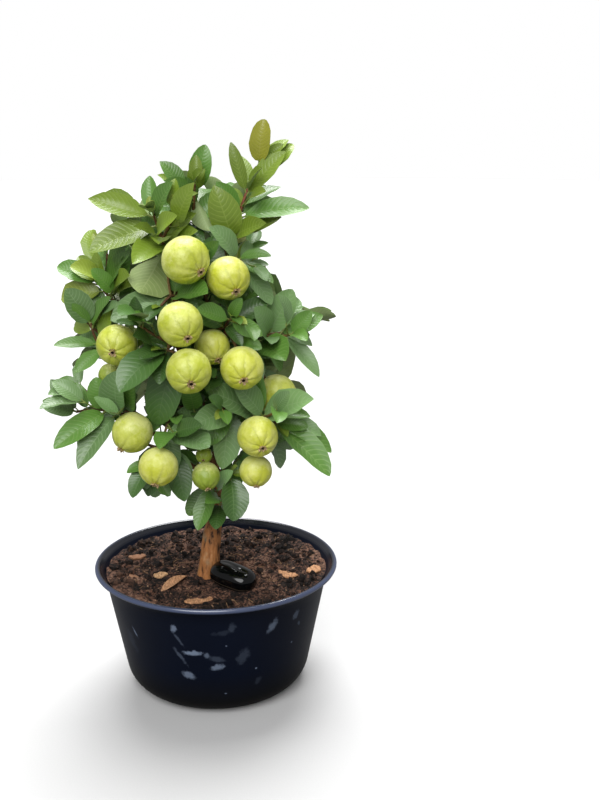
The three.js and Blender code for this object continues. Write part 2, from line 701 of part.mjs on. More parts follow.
// Whether a fruit, a limb, a twig or another leaf is in a leaf's way, or it hangs too low. A leaf that is
// free to stand elsewhere doesn't hide a fruit or the sky either.
function blocked(net, crown, free) {
  const points = net.flat();
  if (points.some((p) => p.z < growth.lowest)) return true;
  if (free && net.slice(1).some((across) => inSkyGap(across[1]))) return true;
  for (const fruit of crown.fruits)
    for (const p of points) {
      const offset = p.clone().sub(fruit.centre);
      if (offset.length() < fruit.radius + fruitForm.clear) return true;
      const ahead = offset.dot(fruit.open);
      const beside = offset.addScaledVector(fruit.open, -ahead).length();
      if (free && !fruit.shaded && ahead > 0 && beside < fruit.radius) return true;
    }
  const triangles = netTriangles(net);
  if (anyCross(crown.wood, triangles)) return true;
  const segments = netSegments(net);
  const middle = net[1][1];
  return crown.leaves.some((other) => {
    if (other.net[1][1].distanceTo(middle) > leafForm.longest) return false;
    return anyCross(segments, other.triangles) || anyCross(other.segments, triangles);
  });
}

// A leaf from its root to its tip, its face turned to the light and rolled a little.
function leafBetween(root, tip, light, curl, roll, widthShare) {
  const chord = tip.clone().sub(root);
  const reach = chord.length();
  chord.divideScalar(reach);
  const facing = perpendicular(chord, light).applyAxisAngle(chord, roll);
  const [rise, run] = [Math.sin(curl / 2), Math.cos(curl / 2)];
  const along = chord.clone().multiplyScalar(run).addScaledVector(facing, rise);
  const normal = facing.multiplyScalar(run).addScaledVector(chord, -rise);
  const length = (reach * (curl / 2)) / rise;
  const side = normal.clone().cross(along);
  return { root, along, normal, side, length, width: length * widthShare, curl };
}

// One leaf of a pair.
function pairedLeaf(shoot, share, round, light, draws, size) {
  const tangent = shoot.curve.getTangent(share);
  const root = shoot.curve.getPoint(share);
  const side = tangent.clone().cross(light).normalize().applyAxisAngle(tangent, round);
  const spread = lerp(growth.lowSpread, growth.tipSpread, share) + (draws[0] - 0.5) * growth.spreadPlay;
  const heading = tangent.multiplyScalar(Math.cos(spread)).addScaledVector(side, Math.sin(spread));
  const tip = root.clone().addScaledVector(heading, size * lerp(...growth.lengths, draws[2]));
  return leafFrom(root, tip, light, draws);
}

// A leaf whose form varies by its draws, with a width of its own where one is given.
function leafFrom(root, tip, light, draws, wide) {
  const roll = (draws[1] - 0.5) * 2 * growth.roll;
  const curl = leafForm.curl * lerp(...growth.curls, draws[4]);
  const usual = leafForm.widthShare * lerp(...growth.widths, draws[3]);
  return leafBetween(root, tip, light, curl, roll, wide ?? usual);
}

// Tries a leaf at each turn in order, and keeps the first that nothing blocks.
function placeLeaf(mass, crown, turns, free, leafAtTurn) {
  for (const turn of turns) {
    const leaf = leafAtTurn(turn);
    const net = leafNet(leaf);
    if (blocked(net, crown, free)) continue;
    mass.leaves.push(leaf);
    crown.leaves.push({ net, triangles: netTriangles(net), segments: netSegments(net) });
    return;
  }
}

const fiveDraws = (random) => [0, 1, 2, 3, 4].map(() => random());

// The leaves that shape a mass's outline.
function growReach(mass, crown) {
  const stem = mass.shoots[0].curve;
  for (const { from, to, wide, under } of mass.reach) {
    const draws = fiveDraws(mass.random);
    const light = under ? mass.light.clone().negate() : mass.light;
    placeLeaf(mass, crown, growth.reachTurns, false, (turn) => {
      const root = stem.getPoint(from);
      const arm = vec(...to).sub(root).applyAxisAngle(mass.light, turn);
      return leafFrom(root, arm.add(root), light, draws, wide);
    });
  }
}

// The leaves that fill a mass. Opposite pairs stand up each shoot, and shrink towards its tip. A leaf
// that meets something is turned about its shoot, and left out when no turn clears it.
function growPairs(mass, crown) {
  for (const shoot of mass.shoots)
    for (let pair = 0; pair < mass.pairs; pair++) {
      const share = lerp(growth.firstPair, growth.lastPair, mass.pairs === 1 ? 1 : pair / (mass.pairs - 1));
      const size = mass.leaf * shoot.size * (1 - growth.tipShrink * smoothstep(share, 0.55, 1));
      const twist = (pair % 2 ? 1 : -1) * growth.cross + (mass.random() - 0.5) * growth.crossPlay;
      for (const opposite of [0, Math.PI]) {
        const draws = fiveDraws(mass.random);
        placeLeaf(mass, crown, growth.turns, true, (turn) =>
          pairedLeaf(shoot, share, twist + opposite + turn, mass.light, draws, size),
        );
      }
    }
}

// A curve as short straight pieces.
function piecesOf(curve, count, from = 0) {
  const points = Array.from({ length: count + 1 }, (_, i) => curve.getPoint(lerp(from, 1, i / count)));
  return points.slice(1).map((p, i) => [points[i], p]);
}

// The stalk of a fruit, from its mass's stem over the fruit and into its top. It starts as near as it can
// to the fruit, without meeting other wood on its way.
function growStalk(fruit, stem, crown) {
  const top = fruit.centre.clone().addScaledVector(fruit.aim, -fruit.radius * 0.8);
  const roots = Array.from({ length: 17 }, (_, i) => stem.getPoint((i + 3) / 20));
  roots.sort((a, b) => a.distanceTo(top) - b.distanceTo(top));
  const stalks = roots.map((root) => {
    const knee = root.clone().lerp(top, 0.6).addScaledVector(fruit.aim, -root.distanceTo(top) * 0.3);
    return new THREE.QuadraticBezierCurve3(root, knee, top);
  });
  return stalks.find((stalk) => clearOfWood(stalk, crown, growth.stalkGap, fruit)) ?? stalks[0];
}

function growCrown() {
  growSkeleton();
  const crown = { fruits: [], leaves: [], wood: [] };
  const grown = masses.map((mass) => ({
    ...mass,
    light: lightOn(mass),
    random: randomFrom(mass.seed),
    shoots: [growStem(mass)],
    fruits: [],
    leaves: [],
  }));
  for (const { curve } of limbs.values()) crown.wood.push(...piecesOf(curve, 12));
  for (const { shoots } of grown) crown.wood.push(...piecesOf(shoots[0].curve, growth.samples));
  for (const { on, at, wide, right, down, shaded } of fruits) {
    const front = Math.sqrt(Math.max(1 - right * right - down * down, 0.02));
    const facing = Math.sign(at[1]);
    const aim = vec(right, facing * front, -down).normalize();
    const fruit = { centre: vec(...at), radius: wide / 2, aim, open: vec(0, facing, 0), shaded };
    grown.find((mass) => mass.name === on).fruits.push(fruit);
    crown.fruits.push(fruit);
  }
  for (const mass of grown)
    for (const fruit of mass.fruits) {
      fruit.stalk = growStalk(fruit, mass.shoots[0].curve, crown);
      crown.wood.push(...piecesOf(fruit.stalk, 4));
    }
  for (const mass of grown) growSideShoots(mass, crown);
  for (const mass of grown) growReach(mass, crown);
  for (const mass of grown) growPairs(mass, crown);
  return grown;
}

// ---- solids -------------------------------------------------------------------------------------

// Which ring of a sphere with so many rings a height from 1 to -1 on it belongs to, counted from the top.
const ringAt = (height, rings) => Math.round((Math.acos(clamp(height, -1, 1)) / Math.PI) * rings);

// A leaf is three-sided in section: its two edges and the midrib that runs below them.
function leafSolid(leaf) {
  const { stations, thickness, sunk } = leafForm;
  const last = stations.length - 1;
  const corners = [
    { across: -1, height: 0 },
    { across: 1, height: 0 },
    { across: 0, height: -thickness },
  ];
  const blade = shaped(new THREE.SphereGeometry(1, corners.length, last), (x, y, z) => {
    const ring = ringAt(y, last);
    if (ring === 0) return leaf.root.clone().addScaledVector(leaf.along, -sunk);
    if (ring === last) return leafPoint(leaf, 1, 0, -thickness / 2);
    const round = Math.atan2(z, -x) / (2 * Math.PI) + 1;
    const { across, height } = corners[Math.round(round * corners.length) % corners.length];
    return leafPoint(leaf, stations[ring], across, height);
  });
  return solidOf(blade);
}

// A fruit is a globe of level rings round the line to its eye, where the last rings stand out as a small
// crown.
function fruitSolid({ centre, radius, aim }) {
  const { eyeRadius, eyeFlare, eyeDepth } = fruitForm;
  const last = fruitForm.rings;
  const globe = new THREE.SphereGeometry(1, fruitForm.sides, last);
  shaped(globe, (x, y, z) => {
    const ring = ringAt(y, last);
    const onGlobe = ring < last - 1;
    const tilt = (Math.PI * ring) / (last - 2) - (ring === last - 2 ? eyeRadius : 0);
    const crownRadius = ring === last ? 0 : radius * eyeRadius * eyeFlare;
    const crownDepth = ring === last ? 0.6 * eyeDepth : eyeDepth; // the eye is a shallow dish
    const girth = onGlobe ? radius * Math.sin(tilt) : crownRadius;
    const height = onGlobe ? radius * Math.cos(tilt) : -radius - crownDepth;
    const around = Math.hypot(x, z) || 1;
    return vec((x / around) * girth, height, (z / around) * girth);
  });
  const turn = new THREE.Quaternion().setFromUnitVectors(vec(0, -1, 0), aim);
  return solidOf(globe.applyQuaternion(turn).translate(...centre));
}

const twigSolid = ({ curve, radii }) => solidOf(limbGeometry(curve, radii, sides.twig, sides.twigSteps));

function stalkSolid({ stalk }) {
  const radii = [fruitForm.stalkRadius, fruitForm.stalkRadius];
  return solidOf(limbGeometry(stalk, radii, sides.twig, sides.stalkSteps));
}

// The trunk's rings stay level, so that it is cut flat at the ground. Its section is a little uneven, and
// it swells at its foot in a few low ridges where the main roots leave it.
function trunkSolid(extra = 0) {
  const curve = limbs.get("trunk").curve;
  const bar = new THREE.CylinderGeometry(1, 1, 1, trunk.sides, trunk.steps);
  return solidOf(
    shaped(bar, (x, y, z) => {
      const share = y + 0.5;
      const angle = Math.atan2(z, x);
      const middle = curve.getPoint(share);
      const up = middle.z - trunk.ground;
      const flare = 1 - smoothstep(up, 0, trunk.flareHeight);
      const oval = trunk.unevenness * Math.sin(2 * angle + up * 0.09);
      const rooted = trunk.ridges * flare * Math.cos(4 * angle + 0.6);
      const radius = limbRadius("trunk", share) * (extra ? 1 : 1 + oval + rooted) + extra;
      const girth = radius * Math.hypot(x, z);
      return vec(middle.x + Math.cos(angle) * girth, middle.y - Math.sin(angle) * girth, middle.z);
    }),
  );
}

// A bough starts on its parent's axis, and every limb made before it, grown by the clearance, is cut out of it.
function limbSolids() {
  const made = new Map([["trunk", trunkSolid()]]);
  let taken = trunkSolid(clearance + trunk.unevenness * trunk.stations[0].radius);
  for (const bough of boughs) {
    const { curve, radii } = limbs.get(bough.name);
    const whole = solidOf(limbGeometry(curve, radii, sides.bough, sides.boughSteps));
    made.set(bough.name, largest(whole.subtract(taken)));
    const wider = radii.map((r) => r + clearance);
    taken = joined([taken, solidOf(limbGeometry(curve, wider, sides.bough, sides.boughSteps))]);
  }
  return made;
}

// The biggest body of a solid, free of its history, so that a scrap that a cut leaves behind is dropped.
function largest(solid) {
  const bodies = solid.decompose();
  return bodies.reduce((best, body) => (body.volume() > best.volume() ? body : best)).asOriginal();
}

// Whether each edge of a solid joins two faces only, with points that nearly meet counted as one.
function foldless(solid) {
  const { numProp, vertProperties, triVerts } = solid.getMesh();
  const key = (v) => vertProperties.subarray(v * numProp, v * numProp + 3).map((c) => Math.round(c * weld)).join();
  const keys = Array.from({ length: vertProperties.length / numProp }, (_, v) => key(v));
  const edges = new Set();
  for (let i = 0; i < triVerts.length; i++) {
    const next = i % 3 === 2 ? i - 2 : i + 1;
    const edge = `${keys[triVerts[i]]}>${keys[triVerts[next]]}`;
    if (edges.has(edge) || keys[triVerts[i]] === keys[triVerts[next]]) return false;
    edges.add(edge);
  }
  return true;
}

// A solid's biggest body with its small edges dropped, as far as no fold comes of it.
function trimmed(solid) {
  const tries = trims.map((distance) => () => largest(distance ? solid.simplify(distance) : solid));
  for (const attempt of tries) {
    const body = attempt();
    if (foldless(body)) return body;
  }
  throw new Error("a mass has a fold that touches itself");
}

const joined = (solids) => wasm.Manifold.union(solids).asOriginal();
const touch = (a, b) => !a.intersect(b).isEmpty();

// The stem, side shoots, stalks and fruit of a mass as one solid.
function woodSolid({ shoots, fruits }) {
  return joined([...shoots.map(twigSolid), ...fruits.map(stalkSolid), ...fruits.map(fruitSolid)]);
}

// Each mass is one solid. A leaf that touches a limb or another mass is left out.
function massSolids(grown, limbSolid) {
  const wood = grown.map(woodSolid);
  const finished = [];
  grown.forEach((mass, index) => {
    const others = joined([limbSolid, ...finished, ...wood.slice(index + 1)]);
    const blades = mass.leaves.map(leafSolid).filter((blade) => !touch(blade, others));
    finished.push(trimmed(joined([wood[index].subtract(others), ...blades])));
  });
  return finished;
}

// The pot's wall in section, as distances from its axis and heights, from the floor to the straight
// wall's top. It can be set in from the outer face, and its lower corner is rounded in a number of steps.
function wallProfile(inset, steps) {
  const { height, neckRadius, neckHeight, footRadius, cornerRadius } = pot;
  const neckFoot = height - neckHeight;
  const slope = at2(neckRadius - footRadius, neckFoot).normalize();
  const outward = at2(slope.y, -slope.x);
  const middle = footRadius - (cornerRadius + cornerRadius * outward.y) / outward.x;
  const end = Math.atan2(outward.y, outward.x);
  const corner = arc(middle, cornerRadius, cornerRadius - inset, -Math.PI / 2, end, steps);
  return [...corner, at2(neckRadius - inset, neckFoot)];
}

const at2 = (x, y) => new THREE.Vector2(x, y);

// Points round an arc in section, from one angle to the other.
function arc(x, y, radius, from, to, steps) {
  return Array.from({ length: steps + 1 }, (_, i) => {
    const angle = lerp(from, to, i / steps);
    return at2(x + radius * Math.cos(angle), y + radius * Math.sin(angle));
  });
}

// The neck flares to the rim in a hollow curve, and the lip is a round bead.
function potSolid() {
  const { height, rimRadius, neckRadius, neckHeight, lipRadius, wall } = pot;
  const flare = (share, rise, inset) =>
    at2(lerp(neckRadius, rimRadius, share) - inset, height - neckHeight * (1 - rise));
  const profile = [
    at2(0, 0),
    ...wallProfile(0, pot.cornerSteps),
    flare(0.22, 0.35, 0),
    flare(0.66, 0.66, 0),
    ...arc(rimRadius - lipRadius, height - lipRadius, lipRadius, -0.35 * Math.PI, 0.95 * Math.PI, 3),
    flare(0.22, 0.35, wall),
    ...wallProfile(wall, soil.cornerSteps).reverse(),
    at2(0, wall),
  ];
  const shell = solidOf(new THREE.LatheGeometry(profile, pot.sides).rotateX(Math.PI / 2));
  const holes = Array.from({ length: pot.drainHoles }, (_, i) => {
    const angle = (2 * Math.PI * i) / pot.drainHoles;
    const { drainRadius, drainCircle } = pot;
    const hole = new THREE.CylinderGeometry(drainRadius, drainRadius, wall * 4, 8).rotateX(Math.PI / 2);
    return solidOf(hole.translate(drainCircle * Math.cos(angle), drainCircle * Math.sin(angle), wall / 2));
  });
  return shell.subtract(wasm.Manifold.union(holes));
}

// The height of the soil, level where the trunk stands and lumpy elsewhere.
function soilHeight(x, y) {
  const foot = trunk.stations[0];
  const share = Math.min(Math.hypot(x, y) / pot.neckRadius, 1);
  const dome = soil.edgeHeight + soil.crown * (1 - share * share);
  const lumps = Math.sin(x * 0.31 + 1) * Math.cos(y * 0.27) + 0.6 * Math.sin(x * 0.13 - y * 0.39);
  const away = smoothstep(Math.hypot(x - foot.x, y - foot.y), ...soil.level);
  return lerp(trunk.ground, dome + soil.roughness * lumps, away);
}

// The soil fills the pot, clear of its wall and floor and of what is bedded in it.
function soilSolid(bedded) {
  const floor = pot.wall + clearance;
  const side = wallProfile(floor, soil.cornerSteps).map((p) => at2(p.x, Math.max(p.y, floor)));
  const top = [side[side.length - 1].x, ...soil.rings, 0].map((radius) => at2(radius, soil.edgeHeight));
  const profile = [at2(0, floor), ...side, ...top];
  const body = new THREE.LatheGeometry(profile, soil.sides).rotateX(Math.PI / 2);
  const lumpy = shaped(body, (x, y, z) => vec(x, y, z > soil.edgeHeight - 0.01 ? soilHeight(x, y) : z));
  return largest(solidOf(lumpy).subtract(wasm.Manifold.union(bedded)));
}

// A rounded block, laid in the soil. A positive extra makes it that much bigger all round.
function stoneSolid(extra = 0) {
  const [long, wide, high] = stone.size.map((s) => s + 2 * extra);
  const rounded = (value, power) => Math.sign(value) * Math.pow(Math.abs(value), power);
  const ball = new THREE.SphereGeometry(1, 12, 8).rotateX(Math.PI / 2);
  const block = shaped(ball, (x, y, z) =>
    vec((long / 2) * rounded(x, 0.75), (wide / 2) * rounded(y, 0.85), (high / 2) * rounded(z, 0.8)),
  );
  const { x, y } = stone.at;
  const height = soilHeight(x, y) - stone.sunk + stone.size[2] / 2;
  return solidOf(block.rotateY(-stone.tilt).rotateZ(stone.turn).translate(x, y, height));
}

// A flat chip with uneven corners, half sunk in the soil.
function chipSolid(chip, extra = 0) {
  const { thickness, sunk, sides: count } = chipForm;
  const random = randomFrom(Math.round(Math.abs(chip.x * 7 + chip.y)));
  const corners = Array.from({ length: count }, () => lerp(0.8, 1.1, random()));
  const slab = new THREE.CylinderGeometry(1, 0.9, 1, count, 1).rotateX(Math.PI / 2);
  shaped(slab, (x, y, z) => {
    const corner = Math.round((Math.atan2(y, x) / (2 * Math.PI) + 1) * count) % count;
    const reach = Math.hypot(x, y) > 0.1 ? corners[corner] : 0;
    const long = (chip.long / 2) * reach + extra;
    const wide = (chip.wide / 2) * reach + extra;
    return vec(x * long, y * wide, z * (thickness + 2 * extra));
  });
  const height = soilHeight(chip.x, chip.y) - sunk + thickness / 2;
  return solidOf(slab.rotateZ(degToRad(chip.turn)).translate(chip.x, chip.y, height));
}

// ---- assembly -----------------------------------------------------------------------------------

const colours = {
  pot: new THREE.MeshStandardMaterial({ color: 0x10182c, roughness: 0.38, metalness: 0 }),
  soil: new THREE.MeshStandardMaterial({ color: 0x35241b, roughness: 1, metalness: 0 }),
  bark: new THREE.MeshStandardMaterial({ color: 0x9a683a, roughness: 0.85, metalness: 0 }),
  foliage: new THREE.MeshStandardMaterial({ color: 0x4c7a3e, roughness: 0.6, metalness: 0 }),
  stone: new THREE.MeshStandardMaterial({ color: 0x0b0c0e, roughness: 0.15, metalness: 0 }),
  chip: new THREE.MeshStandardMaterial({ color: 0xb98555, roughness: 0.9, metalness: 0 }),
};

const tree = new THREE.Group();

function addNode(name, solid, material) {
  const mesh = new THREE.Mesh(geometryOf(solid), material);
  mesh.name = name;
  tree.add(mesh);
}

const grownMasses = growCrown();
const limbSet = limbSolids();
const allLimbs = wasm.Manifold.union([...limbSet.values()]);
const bedded = [stoneSolid(clearance), ...chips.map((chip) => chipSolid(chip, clearance))];

addNode("pot", potSolid(), colours.pot);
addNode("soil", soilSolid(bedded), colours.soil);
addNode("stone", stoneSolid(), colours.stone);
chips.forEach((chip, i) => addNode(`bark_chip_${i + 1}`, chipSolid(chip), colours.chip));
for (const [name, solid] of limbSet)
  addNode(name === "trunk" ? name : `bough_${name}`, solid, colours.bark);
massSolids(grownMasses, allLimbs).forEach((solid, i) =>
  addNode(`mass_${masses[i].name}`, solid, colours.foliage),
);

export default tree;
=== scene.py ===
from math import atan2, ceil, cos, hypot, pi, radians, sin, sqrt

import bpy
import numpy as np
from mathutils import Matrix, Vector, noise


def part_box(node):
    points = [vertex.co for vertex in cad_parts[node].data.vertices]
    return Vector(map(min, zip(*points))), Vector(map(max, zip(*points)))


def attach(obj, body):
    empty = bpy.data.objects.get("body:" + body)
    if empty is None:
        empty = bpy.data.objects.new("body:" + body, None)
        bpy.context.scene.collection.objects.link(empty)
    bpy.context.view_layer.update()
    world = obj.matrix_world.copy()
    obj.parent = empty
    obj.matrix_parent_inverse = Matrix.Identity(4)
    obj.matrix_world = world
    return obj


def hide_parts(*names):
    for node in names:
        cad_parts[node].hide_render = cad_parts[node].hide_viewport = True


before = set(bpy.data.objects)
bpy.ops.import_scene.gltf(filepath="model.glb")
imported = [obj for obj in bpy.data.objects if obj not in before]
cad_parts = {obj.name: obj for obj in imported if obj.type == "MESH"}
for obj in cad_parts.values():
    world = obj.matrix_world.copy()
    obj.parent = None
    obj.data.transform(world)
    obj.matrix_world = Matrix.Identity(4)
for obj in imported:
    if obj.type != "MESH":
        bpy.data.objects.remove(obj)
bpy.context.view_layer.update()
bpy.ops.object.select_all(action="DESELECT")

mm = 0.001
upward = np.array([0.0, 0.0, 1.0])

# Camera, light and floor: a white sweep under soft light from above and the left.
camera = {"place": (0, -0.8, 0.4256), "down": 14.57, "right": 4.49, "lens": 51.2, "sensor": 36}
studio = {
    "sky": "#ffffff", "skyStrength": 1.0, "roomStrength": 0.33,
    "floor": "#c5c5c5", "floorTooth": "#cccccc", "floorBounce": "#6c6c6c", "floorRadius": 6,
    "floorRoughness": 0.9,
    "suns": [  # where each soft light comes from, its spread in degrees and its strength
        ((-0.24, -0.85, 0.75), 45, 2.5), ((0.03, 0.4, 1.0), 40, 4.2),
    ],
}


def linear(colour):  # an sRGB hex colour as the linear values that a shader takes
    parts = [int(colour[i:i + 2], 16) / 255 for i in (1, 3, 5)]
    return [p / 12.92 if p <= 0.04045 else ((p + 0.055) / 1.055) ** 2.4 for p in parts] + [1]


def linkUp(tree, node, links):  # links a node's inputs to what feeds them
    for key, source in links.items():
        tree.links.new(source if hasattr(source, "is_linked") else source.outputs[0], node.inputs[key])


def addNode(tree, kind, settings=None, links=None):  # adds a node, sets it up and links its inputs
    node = tree.nodes.new("ShaderNode" + kind)
    for key, value in (settings or {}).items():
        if key == "stops":
            for _ in value[2:]:
                node.color_ramp.elements.new(0.5)
            for stop, (place, shade) in zip(node.color_ramp.elements, value):
                stop.position = place
                stop.color = linear(shade) if isinstance(shade, str) else [shade] * 3 + [1]
        elif isinstance(key, str) and key[0].islower():
            setattr(node, key, value)
        else:
            socket = node.inputs[key]
            socket.default_value = linear(value) if isinstance(value, str) else value
    linkUp(tree, node, links or {})
    return node


def newFinish(name, settings):  # a material, its nodes, its shader and the place on the object
    finish = bpy.data.materials.new(name)
    finish.use_nodes = True
    shader = finish.node_tree.nodes["Principled BSDF"]
    for key, value in settings.items():
        shader.inputs[key].default_value = value
    place = addNode(finish.node_tree, "TexCoord").outputs["Object"]
    return finish, finish.node_tree, shader, place


def setUpStudio():
    bpy.ops.object.camera_add(
        location=camera["place"],
        rotation=(radians(90 - camera["down"]), 0, -radians(camera["right"])),
    )
    view = bpy.context.object
    view.name = "viewCamera"
    view.data.lens = camera["lens"]
    view.data.sensor_width = camera["sensor"]
    view.data.clip_start = 0.01
    bpy.context.scene.camera = view
    bpy.context.scene.view_settings.view_transform = "Standard"
    for origin, spread, strength in studio["suns"]:
        turn = Vector(origin).to_track_quat("Z", "Y").to_euler()
        bpy.ops.object.light_add(type="SUN", location=origin, rotation=turn)
        bpy.context.object.data.angle = radians(spread)
        bpy.context.object.data.energy = strength
    world = bpy.data.worlds.new("whiteRoom")
    bpy.context.scene.world = world
    world.use_nodes = True
    tree = world.node_tree
    tree.nodes.clear()
    seen = addNode(tree, "Background", {"Color": studio["sky"], "Strength": studio["skyStrength"]})
    felt = addNode(tree, "Background", {"Color": studio["sky"], "Strength": studio["roomStrength"]})
    path = addNode(tree, "LightPath")
    both = addNode(tree, "MixShader", {}, {0: path.outputs["Is Camera Ray"], 1: felt, 2: seen})
    addNode(tree, "OutputWorld", {}, {"Surface": both})
    bpy.ops.mesh.primitive_circle_add(vertices=96, radius=studio["floorRadius"], fill_type="NGON")
    floor = bpy.context.object
    floor.name = "paleFloor"
    # matt painted board, flat white with a tooth of about 1 mm
    paint, tree, shader, place = newFinish("mattFloorPaint", {"Roughness": studio["floorRoughness"]})
    tooth = addNode(tree, "TexNoise", {"Scale": 900, "Detail": 2}, {"Vector": place})
    shades = [(0, studio["floorTooth"]), (1, studio["floor"])]
    tint = addNode(tree, "ValToRGB", {"stops": shades}, {0: tooth})
    direct = addNode(tree, "LightPath").outputs["Is Camera Ray"]
    shade = addNode(tree, "MixRGB", {"Color1": studio["floorBounce"]}, {"Fac": direct, "Color2": tint})
    linkUp(tree, shader, {"Base Color": shade})
    floor.data.materials.append(paint)


setUpStudio()
print("studio ready")


def only(*pieces):  # selects these pieces alone
    bpy.ops.object.select_all(action="DESELECT")
    for piece in pieces:
        piece.select_set(True)
    bpy.context.view_layer.objects.active = pieces[0]


def applied(piece, kind, **settings):  # adds a modifier and applies it
    only(piece)
    modifier = piece.modifiers.new(kind.title(), kind)
    for key, value in settings.items():
        setattr(modifier, key, value)
    bpy.ops.object.modifier_apply(modifier=modifier.name)


def joined(pieces, name):
    only(*pieces)
    bpy.ops.object.join()
    whole = bpy.context.object
    whole.name = name
    whole.data.name = name
    return whole


def fromArrays(name, points, faces, finishes):  # a piece from points in millimetres
    data = bpy.data.meshes.new(name)
    data.from_pydata((np.asarray(points) * mm).tolist(), [], faces)
    piece = bpy.data.objects.new(name, data)
    bpy.context.scene.collection.objects.link(piece)
    for finish in finishes:
        data.materials.append(finish)
    return piece


def addCopy(points, faces, shape, pattern):  # adds a shape's points, and its pattern of faces on them
    first = len(points) * len(shape)
    points.append(shape)
    faces += [tuple(first + i for i in face) for face in pattern]


def marked(piece, name, values):  # keeps a number for each point, which its finish reads
    piece.data.attributes.new(name, "FLOAT", "POINT").data.foreach_set("value", values)


def pointsOf(piece):  # its points as an array in millimetres
    points = np.empty(len(piece.data.vertices) * 3)
    piece.data.vertices.foreach_get("co", points)
    return points.reshape(-1, 3) / mm


def movePoints(piece, points):
    piece.data.vertices.foreach_set("co", (np.asarray(points) * mm).ravel())
    piece.data.update()


def faceOutwards(piece):
    only(piece)
    bpy.ops.object.mode_set(mode="EDIT")
    bpy.ops.mesh.select_all(action="SELECT")
    bpy.ops.mesh.normals_make_consistent(inside=False)
    bpy.ops.object.mode_set(mode="OBJECT")


def finished(piece, nodes=(), sharp=40):  # smooth shading, and its place in the frame
    only(piece)
    bpy.ops.object.shade_smooth_by_angle(angle=radians(sharp))
    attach(piece, "root")
    if nodes:
        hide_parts(*nodes)
    print(f"{piece.name}: {len(piece.data.polygons)} faces")
    return piece


def smoothstep(value, low, high):
    share = np.clip((value - low) / (high - low), 0, 1)
    return share * share * (3 - 2 * share)


def lerp(low, high, share):
    return low + (high - low) * share


def ripple(points, size, seed=0.0, depth=3):  # smooth noise from -1 to 1, with lumps of that size
    shift = Vector((seed, 0, 0))
    return np.array([noise.fractal(Vector(p / size) + shift, 1, 2, depth) for p in points])


def turnedProfile(name, profile, sides):  # turns a closed profile by extruding it ring by ring
    (radius, height), *rest = profile
    bpy.ops.mesh.primitive_circle_add(
        vertices=sides, radius=radius * mm, fill_type="NGON", location=(0, 0, height * mm)
    )
    piece = bpy.context.object
    piece.name = name
    bpy.ops.object.transform_apply(location=True)
    bpy.ops.object.mode_set(mode="EDIT")
    bpy.ops.mesh.select_all(action="SELECT")
    for nextRadius, nextHeight in rest:
        bpy.ops.mesh.extrude_region_move(
            TRANSFORM_OT_translate={"value": (0, 0, (nextHeight - height) * mm)}
        )
        ratio = nextRadius / radius
        bpy.ops.transform.resize(value=(ratio, ratio, 1), center_override=(0, 0, nextHeight * mm))
        radius, height = nextRadius, nextHeight
    bpy.ops.object.mode_set(mode="OBJECT")
    faceOutwards(piece)
    return piece


# Pot: a thin moulded tub with a flared neck and a beaded lip.
pot = {
    "height": 95, "rimRadius": 90.4, "neckRadius": 82.4, "neckHeight": 10, "footRadius": 65.2,
    "cornerRadius": 21.8, "lipRadius": 1.9, "wall": 2, "sides": 144, "wobble": 0.12,
    "drainHoles": 5, "drainRadius": 4, "drainCircle": 30,
    "flare": ((0.08, 0.17), (0.22, 0.35), (0.42, 0.5), (0.66, 0.66)),  # share outwards, share upwards
    # The lip's colour paints the outer roll of the lip lighter: a painted highlight, and rubbed wear.
    "plastic": "#080c18", "cloudy": "#0d1424", "lipPlastic": "#414c6a", "dust": "#14130f",
    # The pale colour of the scuffs, and of one painted glint: a highlight drawn as a pale mark.
    "scuff": "#8391a8",
    "scuffs": [  # middle of each scuff, its half length and half height, its slant and its strength
        (-59.2, -50.4, 62.3, 4.2, 0.9, -62, 0.8), (-30.7, -74.1, 74.6, 3.6, 2.3, 75, 0.8),
        (-27.5, -73.5, 65.9, 6, 1.2, -60, 0.35), (-17.8, -74.2, 55.7, 6.6, 2.1, 0, 0.95),
        (-8.4, -75.6, 54.2, 2.2, 2, 80, 0.6), (-1, -74.1, 44.3, 5.2, 2.6, 10, 0.75),
        (-1.1, -75.5, 51, 6, 2.2, -12, 0.28), (-21, -69.4, 36.7, 5, 3.2, -30, 0.75),
        (-26.9, -70.8, 52.3, 8, 1.5, -57, 0.38), (38, -70.2, 72.7, 5.9, 2.9, 60, 0.62),
        (55.4, -57.9, 74.3, 4.4, 2.8, 62, 0.42), (57.9, -52.9, 65.7, 2.2, 1.3, -60, 0.35),
        (17, -73.7, 52, 6.5, 4.4, 70, 0.24), (26.2, -68.2, 39.5, 0.9, 0.9, 0, 0.9),
        (5.5, -77.5, 62, 0.6, 0.6, 0, 0.6), (4.7, -69.3, 21, 1.1, 0.6, 0, 0.7),
        # The second mark on the next line, just under the lip, is a painted glint: a highlight drawn as a
        # pale mark.
        (52.3, -54.6, 51.8, 0.8, 0.7, 0, 0.6), (26, -68.6, 85, 1.6, 0.6, 10, 0.7),
        (9.6, -80, 76.7, 3.8, 2.4, 80, 0.26), (3.4, -79.8, 73.1, 8, 2, 8, 0.16),
        (27.7, -65.2, 28.5, 4, 2, 60, 0.16), (-61.9, -43.8, 52.5, 9, 4, -70, 0.14),
    ],
}


def arc(x, y, radius, start, end, steps):
    angles = np.linspace(radians(start), radians(end), steps + 1)
    return [(x + radius * cos(a), y + radius * sin(a)) for a in angles]


